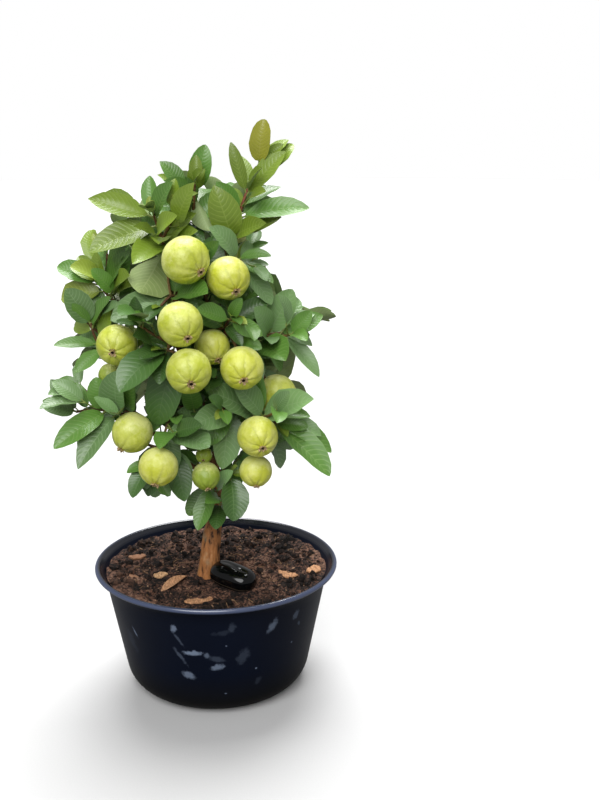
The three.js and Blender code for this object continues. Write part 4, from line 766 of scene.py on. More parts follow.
# A mass's name, its limb, its tip, the way it faces, side shoots, pairs of leaves, their length, its seed,
# and the leaves that shape its outline: where each leaves the stem, its tip, its width and whether it looks
# down.
masses = [
    mass("top_right", "right_leader", (35, -5, 387), 0, 0, 4, 30, 11, [
        (0.97, (38, -9, 416), 0.46),
        (0.93, (55, 2, 402), 0.42),
        (0.62, (52, -14, 395), 0.36),
        (0.66, (15, -9, 401), 0.26),
        (0.5, (50, 2, 370)),
        (0.36, (67, -14, 366), 0.34),
        (0.14, (49, -18, 351)),
        (0.34, (16, 8, 369)),
        (0.04, (3, -18, 373), 0.5),
    ]),
    mass("top_middle", "top_middle", (-8, 4, 368), 0, 1, 3, 32, 12, [
        (0.97, (-2, 0, 399)),
        (0.85, (-4, -17, 341), None, True),
        (0.8, (-34, 6, 378)),
        (0.5, (-29, 2, 364)),
    ]),
    mass("top_left", "trunk", (-38, -20, 354), -15, 1, 2, 36, 13, [
        (0.92, (-82, -14, 364), 0.32),
        (0.75, (-81, -34, 330), 0.44),
        (0.95, (-40, -12, 379)),
        (0.85, (-24, -30, 376)),
        (0.3, (-62, -44, 328)),
        (0.2, (-42, -52, 305), 0.62, True),
        (0.35, (-9, -28, 355)),
    ]),
    mass("upper_left", "upper_left", (-78, -6, 307), -35, 1, 3, 36, 14, [
        (0.9, (-107, 2, 316)),
        (0.95, (-93, 10, 322), 0.4),
        (0.8, (-78, -10, 328)),
        (0.35, (-54, -22, 329)),
        (0.5, (-106, 8, 293)),
        (0.08, (-48, -24, 307)),
    ]),
    mass("mid_left", "mid_left", (-84, -14, 279), -25, 1, 2, 32, 15, [
        (0.95, (-99, -20, 304), 0.6),
        (0.8, (-97, 0, 274)),
        (0.85, (-68, -24, 298)),
        (0.35, (-109, -22, 265), 0.34),
        (0.15, (-95, -28, 247)),
    ]),
    mass("low_left", "low_left", (-95, -32, 220), -20, 1, 2, 36, 16, [
        (0.97, (-117, -34, 229)),
        (0.95, (-112, -26, 242)),
        (0.8, (-95, -24, 239)),
        (0.45, (-80, -34, 245), 0.6),
        (0.4, (-108, -56, 201), 0.36),
        (0.15, (-87, -62, 186), 0.34),
        (0.2, (-52, -34, 232)),
        (0.05, (-66, -24, 237), 0.5),
        (0.1, (-50, -14, 239)),
    ]),
    mass("bottom_left", "bottom_left", (-45, -42, 183), -10, 1, 1, 30, 17, [
        (0.95, (-57, -54, 164)),
        (0.6, (-47, -46, 162)),
        (0.3, (-34, -50, 158)),
        (0.1, (-20, -44, 170)),
        (0.02, (-12, -34, 182)),
    ]),
    mass("bottom_front", "bottom_front", (11, -40, 175), 5, 1, 1, 30, 18, [
        (0.97, (12, -54, 145), 0.6),
        (0.25, (-13, -44, 135), 0.42),
        (0.15, (-20, -32, 142)),
        (0.8, (33, -30, 180)),
    ]),
    mass("low_right", "low_right", (43, -44, 212), 15, 1, 2, 38, 19, [
        (0.35, (67, -64, 231), 0.52),
        (0.9, (78, -66, 180)),
        (0.95, (82, -40, 189)),
        (0.5, (57, -28, 190)),
        (0.4, (47, -30, 175)),
        (0.1, (-5, -56, 239)),
    ]),
    mass("mid_right", "mid_right", (50, -16, 270), 20, 1, 2, 36, 20, [
        (0.85, (78, -14, 282)),
        (0.6, (56, -22, 302)),
        (0.97, (74, -30, 241), 0.3),
        (0.2, (56, -46, 259), 0.56),
        (0.35, (47, -24, 244)),
        (0.5, (63, 6, 290)),
    ]),
    mass("upper_right", "upper_right", (27, -18, 316), 10, 0, 2, 30, 21, [
        (0.35, (41, -30, 326), 0.38),
        (0.9, (40, -14, 318)),
        (0.3, (42, -34, 308)),
        (0.1, (34, -32, 289)),
    ]),
    mass("upper_front", "upper_front", (-34, -44, 295), -10, 0, 2, 34, 24, [
        (0.3, (-67, -50, 287)),
        (0.1, (1, -60, 312)),
        (0.5, (-55, -36, 301)),
    ]),
    mass("front", "front", (-31, -52, 266), -10, 1, 1, 38, 22, [
        (0.9, (-65, -70, 246), 0.54),
        (0.3, (-44, -44, 215)),
        (0.7, (-57, -44, 264)),
    ]),
    mass("front_right", "front_right", (13, -44, 286), 10, 0, 2, 32, 31, [
        (0.9, (-10, -56, 295)),
        (0.8, (34, -44, 274)),
        (0.3, (20, -50, 268)),
    ]),
    mass("low_front", "low_front", (15, -44, 221), 5, 1, 1, 34, 23, [
        (0.95, (-15, -66, 218)),
        (0.5, (-4, -50, 199)),
        (0.3, (5, -48, 181)),
    ]),
    mass("low_mid", "low_mid", (-34, -48, 207), -5, 0, 1, 34, 32, [
        (0.9, (-3, -70, 204), 0.56),
        (0.4, (-18, -30, 224)),
        (0.6, (-52, -30, 201)),
    ]),
    mass("heart_low", "heart_low", (2, -34, 256), 0, 2, 3, 34, 41, []),
    mass("heart_high", "heart_high", (-6, -30, 322), 0, 2, 3, 34, 42, []),
    mass("back_top", "back_top", (10, 32, 352), 175, 2, 3, 38, 25, []),
    mass("back_upper", "back_upper", (-44, 36, 322), 205, 2, 3, 38, 26, []),
    mass("back_left", "back_left", (-80, 34, 260), 235, 2, 3, 40, 27, []),
    mass("back_right", "back_right", (54, 34, 274), 130, 2, 3, 38, 28, []),
    mass("back_middle", "back_middle", (4, 54, 276), 180, 2, 3, 40, 33, []),
    mass("back_low", "back_low", (-28, 52, 212), 195, 2, 3, 40, 29, []),
    mass("back_low_right", "back_low_right", (52, 40, 226), 140, 2, 3, 40, 30, []),
]
fruits = [  # mass, middle, width, how far its eye looks right and down, and whether leaves may cover it
    ("upper_front", (-16.6, -50, 326.6), 32, 0.62, 0.41, False),
    ("upper_front", (-35.2, -14, 307.5), 17, 0.33, 0.71, True),
    ("upper_right", (11.4, -42, 313.2), 29.2, 0.32, 0.49, False),
    ("front", (-20.6, -71, 287.8), 29.6, 0.32, 0.45, False),
    ("front", (-15.7, -78, 258.2), 29.6, 0.11, 0.35, False),
    ("front_right", (-0.2, -40, 265.9), 24.5, 0.3, 0.55, False),
    ("front_right", (19.4, -60, 255.5), 29, 0.04, 0.35, False),
    ("mid_right", (44.6, -25, 228.2), 27.6, 0.56, 0.45, True),
    ("mid_left", (-63.8, -45, 269.4), 27.8, -0.14, 0.17, False),
    ("mid_left", (-70.4, -30, 245.3), 16.5, -0.24, 0.66, True),
    ("low_right", (29.3, -62, 208.4), 27.7, 0.19, 0.31, False),
    ("low_right", (28.1, -52, 180.7), 22.6, -0.02, 0.81, False),
    ("low_left", (-55.4, -50, 209.6), 27.6, -0.55, 0.73, False),
    ("low_mid", (-37.4, -74, 192.4), 26.4, -0.17, 0.77, False),
    ("bottom_front", (-6.2, -54, 178.5), 19.3, 0.11, 0.72, False),
    ("bottom_front", (-7.3, -48, 191.7), 11.5, -0.09, 0.34, True),
    ("back_top", (18, 42, 322), 28, 0.3, 0.7, False),
    ("back_upper", (-26, 50, 292), 29, -0.2, 0.6, False),
    ("back_left", (-62, 48, 236), 28, -0.4, 0.6, False),
    ("back_right", (50, 50, 252), 27, 0.4, 0.6, False),
    ("back_middle", (12, 62, 248), 29, 0.1, 0.6, False),
    ("back_low", (-18, 60, 188), 27, -0.2, 0.8, False),
    ("back_low_right", (44, 48, 198), 26, 0.3, 0.8, False),
]

growth = {
    "gap": 0.3, "boughBow": 0.12, "stemKnee": 0.4, "twigRadius": 1.4, "tipRadius": 0.9,
    "shootAngle": radians(42), "shootShare": 0.7, "shootRise": 0.15, "shootSize": 0.85, "shootPlay": 1.2,
    "twigGap": 4.5, "stalkGap": 3.2, "firstPair": 0.12, "lastPair": 0.985, "tipShrink": 0.35,
    "lowSpread": radians(70), "tipSpread": radians(32), "spreadPlay": 0.3, "cross": radians(38),
    "crossPlay": 0.5, "sideLight": 1.1, "roll": radians(20),
    "lengths": (0.85, 1.15), "widths": (0.86, 1.14), "curls": (0.4, 1.6), "curl": radians(38),
    "widthShare": 0.46, "petiole": 0.1, "bluntness": 0.72, "fold": 0.16, "lowest": 100, "fruitClear": 1.2,
    "longest": 60, "turns": [radians(a) for a in (0, 20, -20, 40, -40, 60, -60)],
    "reachTurns": [radians(a) for a in (0, 7, -7, 14, -14, 21, -21)],
}

# Where the sky shows between the leaves, seen from 800 mm in front: the middle of each gap in the plane
# x, z, and its radius.
onlooker = np.array([0, -800, 425.6])
skyGaps = [
    (75, 304, 21), (53, 311, 13), (60, 347, 14), (45, 375, 6), (28, 396, 6), (12, 380, 9), (-20, 392, 11),
    (-53, 364, 7), (-98, 332, 14), (-102, 306, 7), (-108, 282, 12), (-96, 257, 7), (-110, 247, 13),
    (-116, 207, 8), (57, 172, 9), (64, 238, 13), (75, 224, 12), (77, 266, 10),
    (79, 210, 10), (80, 199, 7), (58, 384, 8), (-99, 270, 6), (30, 139, 7),
]


def inSkyGap(points):
    depth = onlooker[1]
    seen = onlooker + (points - onlooker) * (depth / (depth - points[:, 1]))[:, None]
    return any((np.hypot(seen[:, 0] - x, seen[:, 2] - z) < radius).any() for x, z, radius in skyGaps)


def unit(vector):
    return vector / np.linalg.norm(vector)


def turnedAbout(vector, axis, angle):
    kept = axis * (np.dot(axis, vector) * (1 - cos(angle)))
    return vector * cos(angle) + np.cross(axis, vector) * sin(angle) + kept


def squareTo(direction, towards):  # the part of one direction that is square to another
    return unit(towards - direction * np.dot(towards, direction))


def smoothCurve(points):  # a centripetal spline through points, as a function of the share along it
    points = [np.array(p, float) for p in points]
    before, after = 2 * points[0] - points[1], 2 * points[-1] - points[-2]
    points = [before, *points, after]

    def at(share):
        place = (len(points) - 3) * share
        low = min(int(place), len(points) - 4)
        rest = place - low
        p = points[low:low + 4]
        spans = [max(np.dot(p[i + 1] - p[i], p[i + 1] - p[i]) ** 0.25, 1e-9) for i in range(3)]
        starts = (p[1] - p[0]) / spans[0] - (p[2] - p[0]) / (spans[0] + spans[1]) + (p[2] - p[1]) / spans[1]
        ends = (p[2] - p[1]) / spans[1] - (p[3] - p[1]) / (spans[1] + spans[2]) + (p[3] - p[2]) / spans[2]
        first, last = starts * spans[1], ends * spans[1]
        square = -3 * p[1] + 3 * p[2] - 2 * first - last
        cube = 2 * p[1] - 2 * p[2] + first + last
        return p[1] + rest * (first + rest * (square + rest * cube))

    return at


def bentCurve(start, knee, end):
    return lambda s: (1 - s) ** 2 * start + 2 * s * (1 - s) * knee + s * s * end


def headingOf(curve, share):
    low, high = max(share - 1e-4, 0), min(share + 1e-4, 1)
    return unit(curve(high) - curve(low))


def lengthOf(curve, steps=200):
    places = np.array([curve(i / steps) for i in range(steps + 1)])
    return float(np.linalg.norm(np.diff(places, axis=0), axis=1).sum())


def shareAtHeight(curve, height):
    low, high = 0.0, 1.0
    for _ in range(30):
        middle = (low + high) / 2
        low, high = (middle, high) if curve(middle)[2] < height else (low, middle)
    return low


def growSkeleton():  # name -> (curve, radius at a share of it), for the trunk and the boughs
    ground = soil["ground"] + growth["gap"]
    curve = smoothCurve([(x, y, ground + up) for up, x, y, _ in trunkStations])
    shares = np.linspace(0, 1, len(trunkStations))
    radii = [station[3] for station in trunkStations]
    limbs = {"trunk": (curve, lambda share: float(np.interp(share, shares, radii)))}
    for name, (parentName, height, to, ends, sag) in boughs.items():
        parent = limbs[parentName][0]
        foot = parent(shareAtHeight(parent, height))
        tip = np.array(to, float)
        outward = (tip - foot) * [1, 1, 0] * growth["boughBow"]
        middle = lerp(foot, tip, 0.5) - upward * sag + outward
        limbs[name] = (smoothCurve([foot, middle, tip]), lambda share, ends=ends: lerp(*ends, share))
    return limbs


def piecesOf(curve, count):
    places = [curve(i / count) for i in range(count + 1)]
    return list(zip(places[:-1], places[1:]))


def clearOfWood(curve, crown, gap, own=None):  # whether a new twig keeps a gap from all that is there
    starts, ends = crown["wood"]
    for i in range(3, 11):
        p = curve(i / 10)
        spans = ends - starts
        share = np.clip(((p - starts) * spans).sum(1) / np.maximum((spans * spans).sum(1), 1e-12), 0, 1)
        if np.linalg.norm(starts + spans * share[:, None] - p, axis=1).min() < gap:
            return False
        for fruit in crown["fruits"]:
            if fruit is not own and np.linalg.norm(fruit["centre"] - p) < fruit["radius"] + gap / 2:
                return False
    return True


def addWood(crown, curve, count):
    pieces = piecesOf(curve, count)
    starts, ends = np.array([a for a, _ in pieces]), np.array([b for _, b in pieces])
    if crown["wood"]:
        starts, ends = np.vstack([crown["wood"][0], starts]), np.vstack([crown["wood"][1], ends])
    crown["wood"] = (starts, ends)


def bladeShare(t):
    u = np.maximum(t - growth["petiole"], 0) / (1 - growth["petiole"])
    return (4 * u * (1 - u)) ** growth["bluntness"]


# Points of a leaf's blade, t along it from 0 to 1 and across from -1 to 1.
def leafPoint(leaf, t, across, half=None, height=0.0):
    t, across = np.broadcast_arrays(np.asarray(t, float), np.asarray(across, float))
    turn = leaf["curl"] * t
    forward = leaf["length"] * np.sin(turn) / leaf["curl"]
    back = leaf["length"] * (1 - np.cos(turn)) / leaf["curl"]
    half = leaf["width"] / 2 * bladeShare(t) if half is None else half
    lift = height + growth["fold"] * np.abs(across) * half
    ways = ("along", "normal", "side")
    spread = [forward + lift * np.sin(turn), lift * np.cos(turn) - back, across * half]
    return leaf["root"] + sum(s[..., None] * leaf[way] for s, way in zip(spread, ways))


# A leaf's rough net for the tests below: three points across at four places along it.
netShares, netSides = np.meshgrid([0.1, 0.4, 0.7, 1], [-1, 0, 1], indexing="ij")
netCorners = [3 * i + j for i in range(3) for j in range(2)]
netFaces = np.array([face for a in netCorners for face in ((a, a + 1, a + 3), (a + 3, a + 1, a + 4))])
netEdges = np.array([(k, k + 3) for k in range(9)] + [(k, k + 1) for k in (3, 4, 6, 7)])


def crossing(starts, ends, triangles):  # whether any straight piece runs through any triangle
    spans = ends - starts
    a, b, c = triangles[:, 0], triangles[:, 1], triangles[:, 2]
    sideOne, sideTwo = b - a, c - a
    normals = np.cross(sideOne, sideTwo)
    offset = starts[:, None] - a
    facing = spans @ normals.T
    with np.errstate(divide="ignore", invalid="ignore"):
        depth = -(offset * normals).sum(2) / facing
        swept = np.cross(offset, spans[:, None])
        u = -(swept * sideTwo).sum(2) / facing
        v = (swept * sideOne).sum(2) / facing
    inside = (u >= 0) & (v >= 0) & (u + v <= 1)
    return bool(((np.abs(facing) > 1e-12) & (depth >= 0) & (depth <= 1) & inside).any())


def blocked(net, crown, free):  # whether fruit, wood or another leaf is in a leaf's way, or it hangs too low
    if (net[:, 2] < growth["lowest"]).any() or (free and inSkyGap(net[[4, 7, 10]])):
        return True
    for fruit in crown["fruits"]:
        offset = net - fruit["centre"]
        if (np.linalg.norm(offset, axis=1) < fruit["radius"] + growth["fruitClear"]).any():
            return True
        ahead = offset @ fruit["open"]
        beside = np.linalg.norm(offset - ahead[:, None] * fruit["open"], axis=1)
        if free and not fruit["shaded"] and ((ahead > 0) & (beside < fruit["radius"])).any():
            return True
    triangles = net[netFaces]
    starts, ends = crown["wood"]
    near = np.linalg.norm(starts - net[4], axis=1) < growth["longest"]
    if crossing(starts[near], ends[near], triangles):
        return True
    if not crown["leaves"]:
        return False
    others = np.array(crown["leaves"])
    others = others[np.linalg.norm(others[:, 4] - net[4], axis=1) <= growth["longest"]]
    if not len(others):
        return False
    edges = others[:, netEdges].reshape(-1, 2, 3)
    own = net[netEdges]
    return crossing(edges[:, 0], edges[:, 1], triangles) or crossing(
        own[:, 0], own[:, 1], others[:, netFaces].reshape(-1, 3, 3)
    )


def leafBetween(root, tip, light, curl, roll, wide):  # a leaf whose face is turned to the light
    chord = tip - root
    reach = np.linalg.norm(chord)
    chord = chord / reach
    facing = turnedAbout(squareTo(chord, light), chord, roll)
    rise, run = sin(curl / 2), cos(curl / 2)
    along, normal = chord * run + facing * rise, facing * run - chord * rise
    length = reach * (curl / 2) / rise
    return {
        "root": root, "along": along, "normal": normal, "side": np.cross(normal, along),
        "length": length, "width": length * wide, "curl": curl,
    }


def leafFrom(root, tip, light, draws, wide=None):
    roll = (draws[1] - 0.5) * 2 * growth["roll"]
    curl = growth["curl"] * lerp(*growth["curls"], draws[4])
    usual = growth["widthShare"] * lerp(*growth["widths"], draws[3])
    return leafBetween(root, tip, light, curl, roll, usual if wide is None else wide)


def placeLeaf(owner, crown, turns, free, leafAtTurn, room=()):  # keeps the first turn that nothing blocks
    for turn in turns:
        leaf = leafAtTurn(turn)
        net = leafPoint(leaf, netShares, netSides).reshape(-1, 3)
        if blocked(net, crown, free):
            continue
        if room and not any(((net > low) & (net < high)).all() for low, high in room):
            continue
        owner["leaves"].append(leaf)
        crown["leaves"].append(net)
        return leaf
    return None


def pairedLeaf(shoot, share, turn, light, draws, size):
    heading, root = headingOf(shoot["curve"], share), shoot["curve"](share)
    side = turnedAbout(unit(np.cross(heading, light)), heading, turn)
    spread = lerp(growth["lowSpread"], growth["tipSpread"], share) + (draws[0] - 0.5) * growth["spreadPlay"]
    reach = size * lerp(*growth["lengths"], draws[2])
    return leafFrom(root, root + (heading * cos(spread) + side * sin(spread)) * reach, light, draws)


def growStem(mass, limbs):
    curve, radius = limbs[mass["on"]]
    heading = headingOf(curve, 1)
    foot = curve(1) + heading * growth["gap"]
    knee = foot + heading * np.linalg.norm(foot - mass["tip"]) * growth["stemKnee"]
    curve = bentCurve(foot, knee, mass["tip"])
    return {"curve": curve, "radii": (radius(1), growth["tipRadius"]), "size": 1}


def sideShoot(mass, share, turn):
    stem = mass["shoots"][0]["curve"]
    root, heading = stem(share), headingOf(stem, share)
    side = turnedAbout(unit(np.cross(heading, mass["light"])), heading, turn)
    direction = unit(heading * cos(growth["shootAngle"]) + side * sin(growth["shootAngle"]))
    reach = max(lengthOf(stem), mass["leaf"]) * growth["shootShare"]
    end = root + direction * reach + upward * reach * growth["shootRise"]
    curve = bentCurve(root, root + direction * reach * 0.5, end)
    radii = (growth["twigRadius"], growth["tipRadius"])
    return {"curve": curve, "radii": radii, "size": growth["shootSize"]}


def growSideShoots(mass, crown):
    draw = mass["random"]
    for i in range(mass["sideShoots"]):
        share = (i + 0.6 + 0.4 * draw()) / (mass["sideShoots"] + 1)
        around = i * pi + (draw() - 0.5) * growth["shootPlay"]
        for turn in growth["turns"]:
            shoot = sideShoot(mass, share, around + turn)
            if clearOfWood(shoot["curve"], crown, growth["twigGap"]):
                mass["shoots"].append(shoot)
                addWood(crown, shoot["curve"], 10)
                break


def growReach(mass, crown):  # the leaves that shape a mass's outline
    stem, draw = mass["shoots"][0]["curve"], mass["random"]
    for share, to, *rest in mass["reach"]:
        wide, under = (rest + [None, False])[:2]
        draws = [draw() for _ in range(5)]
        light = -mass["light"] if under else mass["light"]
        root = stem(share)
        arm = np.array(to, float) - root
        placeLeaf(mass, crown, growth["reachTurns"], False, lambda turn: leafFrom(
            root, root + turnedAbout(arm, mass["light"], turn), light, draws, wide
        ))


def growPairs(mass, crown):  # the opposite pairs that fill it, smaller towards each shoot's tip
    draw = mass["random"]
    for shoot in mass["shoots"]:
        for pair in range(mass["pairs"]):
            step = 1 if mass["pairs"] == 1 else pair / (mass["pairs"] - 1)
            share = lerp(growth["firstPair"], growth["lastPair"], step)
            shrunk = 1 - growth["tipShrink"] * float(smoothstep(share, 0.55, 1))
            size = mass["leaf"] * shoot["size"] * shrunk
            twist = (1 if pair % 2 else -1) * growth["cross"] + (draw() - 0.5) * growth["crossPlay"]
            for opposite in (0, pi):
                draws = [draw() for _ in range(5)]
                placeLeaf(mass, crown, growth["turns"], True, lambda turn: pairedLeaf(
                    shoot, share, twist + opposite + turn, mass["light"], draws, size
                ))


def growStalk(fruit, stem, crown):  # a stalk from the stem over the fruit and into its top
    top = fruit["centre"] - fruit["aim"] * fruit["radius"] * 0.8
    roots = sorted((stem((i + 3) / 20) for i in range(17)), key=lambda p: float(np.linalg.norm(p - top)))
    stalks = []
    for root in roots:
        knee = lerp(root, top, 0.6) - fruit["aim"] * np.linalg.norm(root - top) * 0.3
        stalks.append(bentCurve(root, knee, top))
    return next((s for s in stalks if clearOfWood(s, crown, growth["stalkGap"], fruit)), stalks[0])


def growCrown(limbs):
    crown = {"fruits": [], "leaves": [], "wood": ()}
    for mass in masses:
        turn = radians(mass["face"])
        mass["light"] = unit(np.array([sin(turn), -cos(turn), 0]) * growth["sideLight"] + upward)
        mass["shoots"] = [growStem(mass, limbs)]
    for curve, _ in limbs.values():
        addWood(crown, curve, 12)
    for mass in masses:
        addWood(crown, mass["shoots"][0]["curve"], 10)
    named = {mass["name"]: mass for mass in masses}
    for on, at, wide, right, down, shaded in fruits:
        front = sqrt(max(1 - right * right - down * down, 0.02))
        facing = float(np.sign(at[1]))
        aim = unit(np.array([right, facing * front, -down]))
        fruit = {"centre": np.array(at, float), "radius": wide / 2, "aim": aim, "shaded": shaded}
        fruit["open"] = np.array([0, facing, 0])
        named[on]["fruits"].append(fruit)
        crown["fruits"].append(fruit)
    for mass in masses:
        for fruit in mass["fruits"]:
            fruit["stalk"] = growStalk(fruit, mass["shoots"][0]["curve"], crown)
            addWood(crown, fruit["stalk"], 4)
    for grow in (growSideShoots, growReach, growPairs):
        for mass in masses:
            grow(mass, crown)
    return crown


limbs = growSkeleton()
crown = growCrown(limbs)
print(f"grown: {len(crown['leaves'])} leaves")

# Finer twigs, with smaller leaves, inside each mass's own space.
fine = {
    "shares": (0.5, 0.88), "boughShares": (0.22, 0.36, 0.5, 0.64, 0.78, 0.92), "length": (8, 15),
    "angle": (38, 62), "turns": (0, 0.9, -0.9, 1.8, -1.8, 2.7), "radii": (0.75, 0.45), "gap": 2.4,
    "sharePlay": 0.06, "stepTurn": 2.4, "rise": 0.2, "pairAt": 0.95,
    "leafShare": (0.6, 0.95), "youngShare": (0.3, 0.45), "seed": 500,
    "extras": {  # further leaves of a mass: twig, share along it, tip, width, and whether it is a young one
        "bottom_left": [(0, 0.7, (-46, -30, 157), 0.6, False), (0, 0.35, (-33, -30, 156), 0.6, False)],
        "top_left": [(1, 0.1, (-35, -28, 334), 0.5, True)],
    },
    "heart": ((-50, -40, 165), (42, 42, 345)),  # the space between the masses, round the trunk
    "skyGaps": [  # kept free by these leaves, besides the larger gaps
        (27, 401, 8), (56, 370, 6), (21, 372, 6), (6, 393, 5), (-15, 377, 5), (-96, 192, 6), (33, 391, 5),
        (15, 385, 5), (-98, 236, 6), (-94, 305, 5), (64, 268, 5), (63, 243, 6), (65, 226, 5), (-56, 363, 4),
    ],
}


def growFine(mass, crown, seed):  # a mass's further leaves: named ones, those of fine twigs, young pairs
    random = np.random.default_rng(seed)
    own = [boxes[mass["name"]]]
    owner = {"leaves": []}
    mass["fineTwigs"] = []
    for index, share, to, wide, young in fine["extras"].get(mass["name"], ()):
        root, draws = mass["shoots"][index]["curve"](share), random.random(5)
        extra = placeLeaf(owner, crown, growth["reachTurns"], False, lambda turn: leafFrom(
            root, root + turnedAbout(np.array(to) - root, mass["light"], turn), mass["light"], draws, wide
        ))
        if extra:
            extra["young"] = young
    carriers = [(shoot["curve"], fine["shares"], own) for shoot in mass["shoots"]]
    carriers.append((limbs[mass["on"]][0], fine["boughShares"], inner))
    play = fine["sharePlay"]
    for curve, shares, room in carriers:
        for step, share in enumerate(shares):
            growFineTwig(mass, owner, curve, share + random.uniform(-play, play), step, room, random)
    for shoot in mass["shoots"]:
        for opposite in (0, pi):
            draws = random.random(5)
            size = mass["leaf"] * random.uniform(*fine["youngShare"])
            young = placeLeaf(owner, crown, growth["turns"], True, lambda turn: pairedLeaf(
                shoot, 1.0, pi / 2 + opposite + turn, mass["light"], draws, size
            ), own)
            if young:
                young["young"] = True
    mass["leaves"] += owner["leaves"]


def growFineTwig(mass, owner, curve, share, step, room, random):  # a twig with leaves near its tip
    root, heading = curve(share), headingOf(curve, share)
    start = step * fine["stepTurn"] + random.uniform(0, 2 * pi)
    for turn in fine["turns"]:
        side = turnedAbout(unit(np.cross(heading, mass["light"])), heading, start + turn)
        lean = radians(random.uniform(*fine["angle"]))
        direction = unit(heading * cos(lean) + side * sin(lean))
        reach = random.uniform(*fine["length"])
        end = root + direction * reach + upward * reach * fine["rise"]
        path = bentCurve(root, root + direction * reach * 0.5, end)
        if not clearOfWood(path, crown, fine["gap"]):
            continue
        twig = {"curve": path, "radii": fine["radii"], "size": 1}
        kept = 0
        for opposite in (0, pi):
            draws = random.random(5)
            size = mass["leaf"] * random.uniform(*fine["leafShare"])
            kept += placeLeaf(owner, crown, growth["turns"], True, lambda turn: pairedLeaf(
                twig, fine["pairAt"], opposite + turn, mass["light"], draws, size
            ), room) is not None
        if kept:
            mass["fineTwigs"].append(twig)
            addWood(crown, path, 5)
            return


boxes = {}
for mass in masses:
    boxes[mass["name"]] = [np.array(corner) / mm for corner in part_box("mass_" + mass["name"])]
inner = list(boxes.values()) + [[np.array(corner) for corner in fine["heart"]]]
skyGaps += fine["skyGaps"]
for fruit in crown["fruits"]:
    fruit["shaded"] = False  # the finer leaves leave every fruit in view
for index, mass in enumerate(masses):
    growFine(mass, crown, fine["seed"] + index)
print(f"with finer twigs: {len(crown['leaves'])} leaves")

# Trunk and boughs: one skin with the bark's relief.
wood = {
    "voxel": 0.55, "underSoil": 1.2, "stoutFrom": 4, "flareHeight": 16, "ridges": 0.13,
    "streak": 0.26, "streakWidth": 2.6, "grain": 0.11, "grainWidth": 1.1, "plate": 0.22, "plateWidth": 7,
    "knot": 0.5, "knotHeight": 33, "knotReach": 5,
    "bark": "#99653a", "dark": "#352112", "peeled": "#a96f3f", "pale": "#bd946a", "lichen": "#8a8064",
    "young": "#6d4a2c",
}


def limbCurveObject(name, path, radii):
    data = bpy.data.curves.new(name, "CURVE")
    data.dimensions = "3D"
    data.bevel_depth = 1 * mm
    data.bevel_resolution = 5
    data.use_fill_caps = True
    line = data.splines.new("POLY")
    line.points.add(len(path) - 1)
    for point, place, radius in zip(line.points, path, radii):
        point.co = (*(place * mm), 1)
        point.radius = radius
    piece = bpy.data.objects.new(name, data)
    bpy.context.scene.collection.objects.link(piece)
    return piece


def buildWood():
    pieces, samples = [], []
    for name, (curve, radius) in limbs.items():
        shares = np.linspace(0, 1, 70 if name == "trunk" else 26)
        path = [curve(share) for share in shares]
        radii = [radius(share) for share in shares]
        if name == "trunk":
            path = [path[0] - upward * wood["underSoil"]] + path
            radii = [radii[0] * 1.02] + radii
        samples += list(zip(path, radii))
        pieces.append(limbCurveObject(name, path, radii))
    only(*pieces)
    bpy.ops.object.convert(target="MESH")
    tree = joined(pieces, "guavaWood")
    applied(tree, "REMESH", mode="VOXEL", voxel_size=wood["voxel"] * mm)
    applied(tree, "SMOOTH", factor=0.5, iterations=3)
    points = pointsOf(tree)
    normals = np.array([vertex.normal for vertex in tree.data.vertices])
    middles = np.array([place for place, _ in samples])
    girths = np.array([radius for _, radius in samples])
    parts = np.array_split(points, 60)
    nearest = [np.linalg.norm(part[:, None] - middles[None], axis=2).argmin(1) for part in parts]
    nearest = np.concatenate(nearest)
    girth = girths[nearest]
    offset = (points - middles[nearest]) * [1, 1, 0]
    angle = np.arctan2(offset[:, 1], offset[:, 0])
    up = points[:, 2] - soil["ground"]
    stout = girth > wood["stoutFrom"]
    foot = (1 - smoothstep(up, 0, wood["flareHeight"])) * stout
    points += offset * (foot * wood["ridges"] * (np.cos(4 * angle + 0.6) + 0.4 * np.cos(7 * angle)))[:, None]
    thick = np.clip(girth / 5, 0.22, 1)
    streaks = ripple(points * [1, 1, 0.3], wood["streakWidth"], 11) * wood["streak"]
    streaks = streaks + ripple(points * [1, 1, 0.5], wood["grainWidth"], 5) * wood["grain"]
    cells = [noise.voronoi(Vector(p * [1, 1, 0.45] / wood["plateWidth"]))[0] for p in points]
    edges = np.array([far - near for near, far, *_ in cells])
    plates = smoothstep(edges, 0.02, 0.16) * wood["plate"]
    knots = wood["knot"] * np.exp(-(((up - wood["knotHeight"]) / wood["knotReach"]) ** 2))
    knots = knots * (np.cos(angle - 2.6) > 0.3) * stout
    points += normals * ((streaks + plates - wood["plate"] * 0.7) * thick + knots)[:, None]
    movePoints(tree, points)
    marked(tree, "girth", girth / 8)
    tree.data.materials.clear()
    tree.data.materials.append(guavaBark())
    return finished(tree, ["trunk"] + ["bough_" + name for name in boughs], 80)


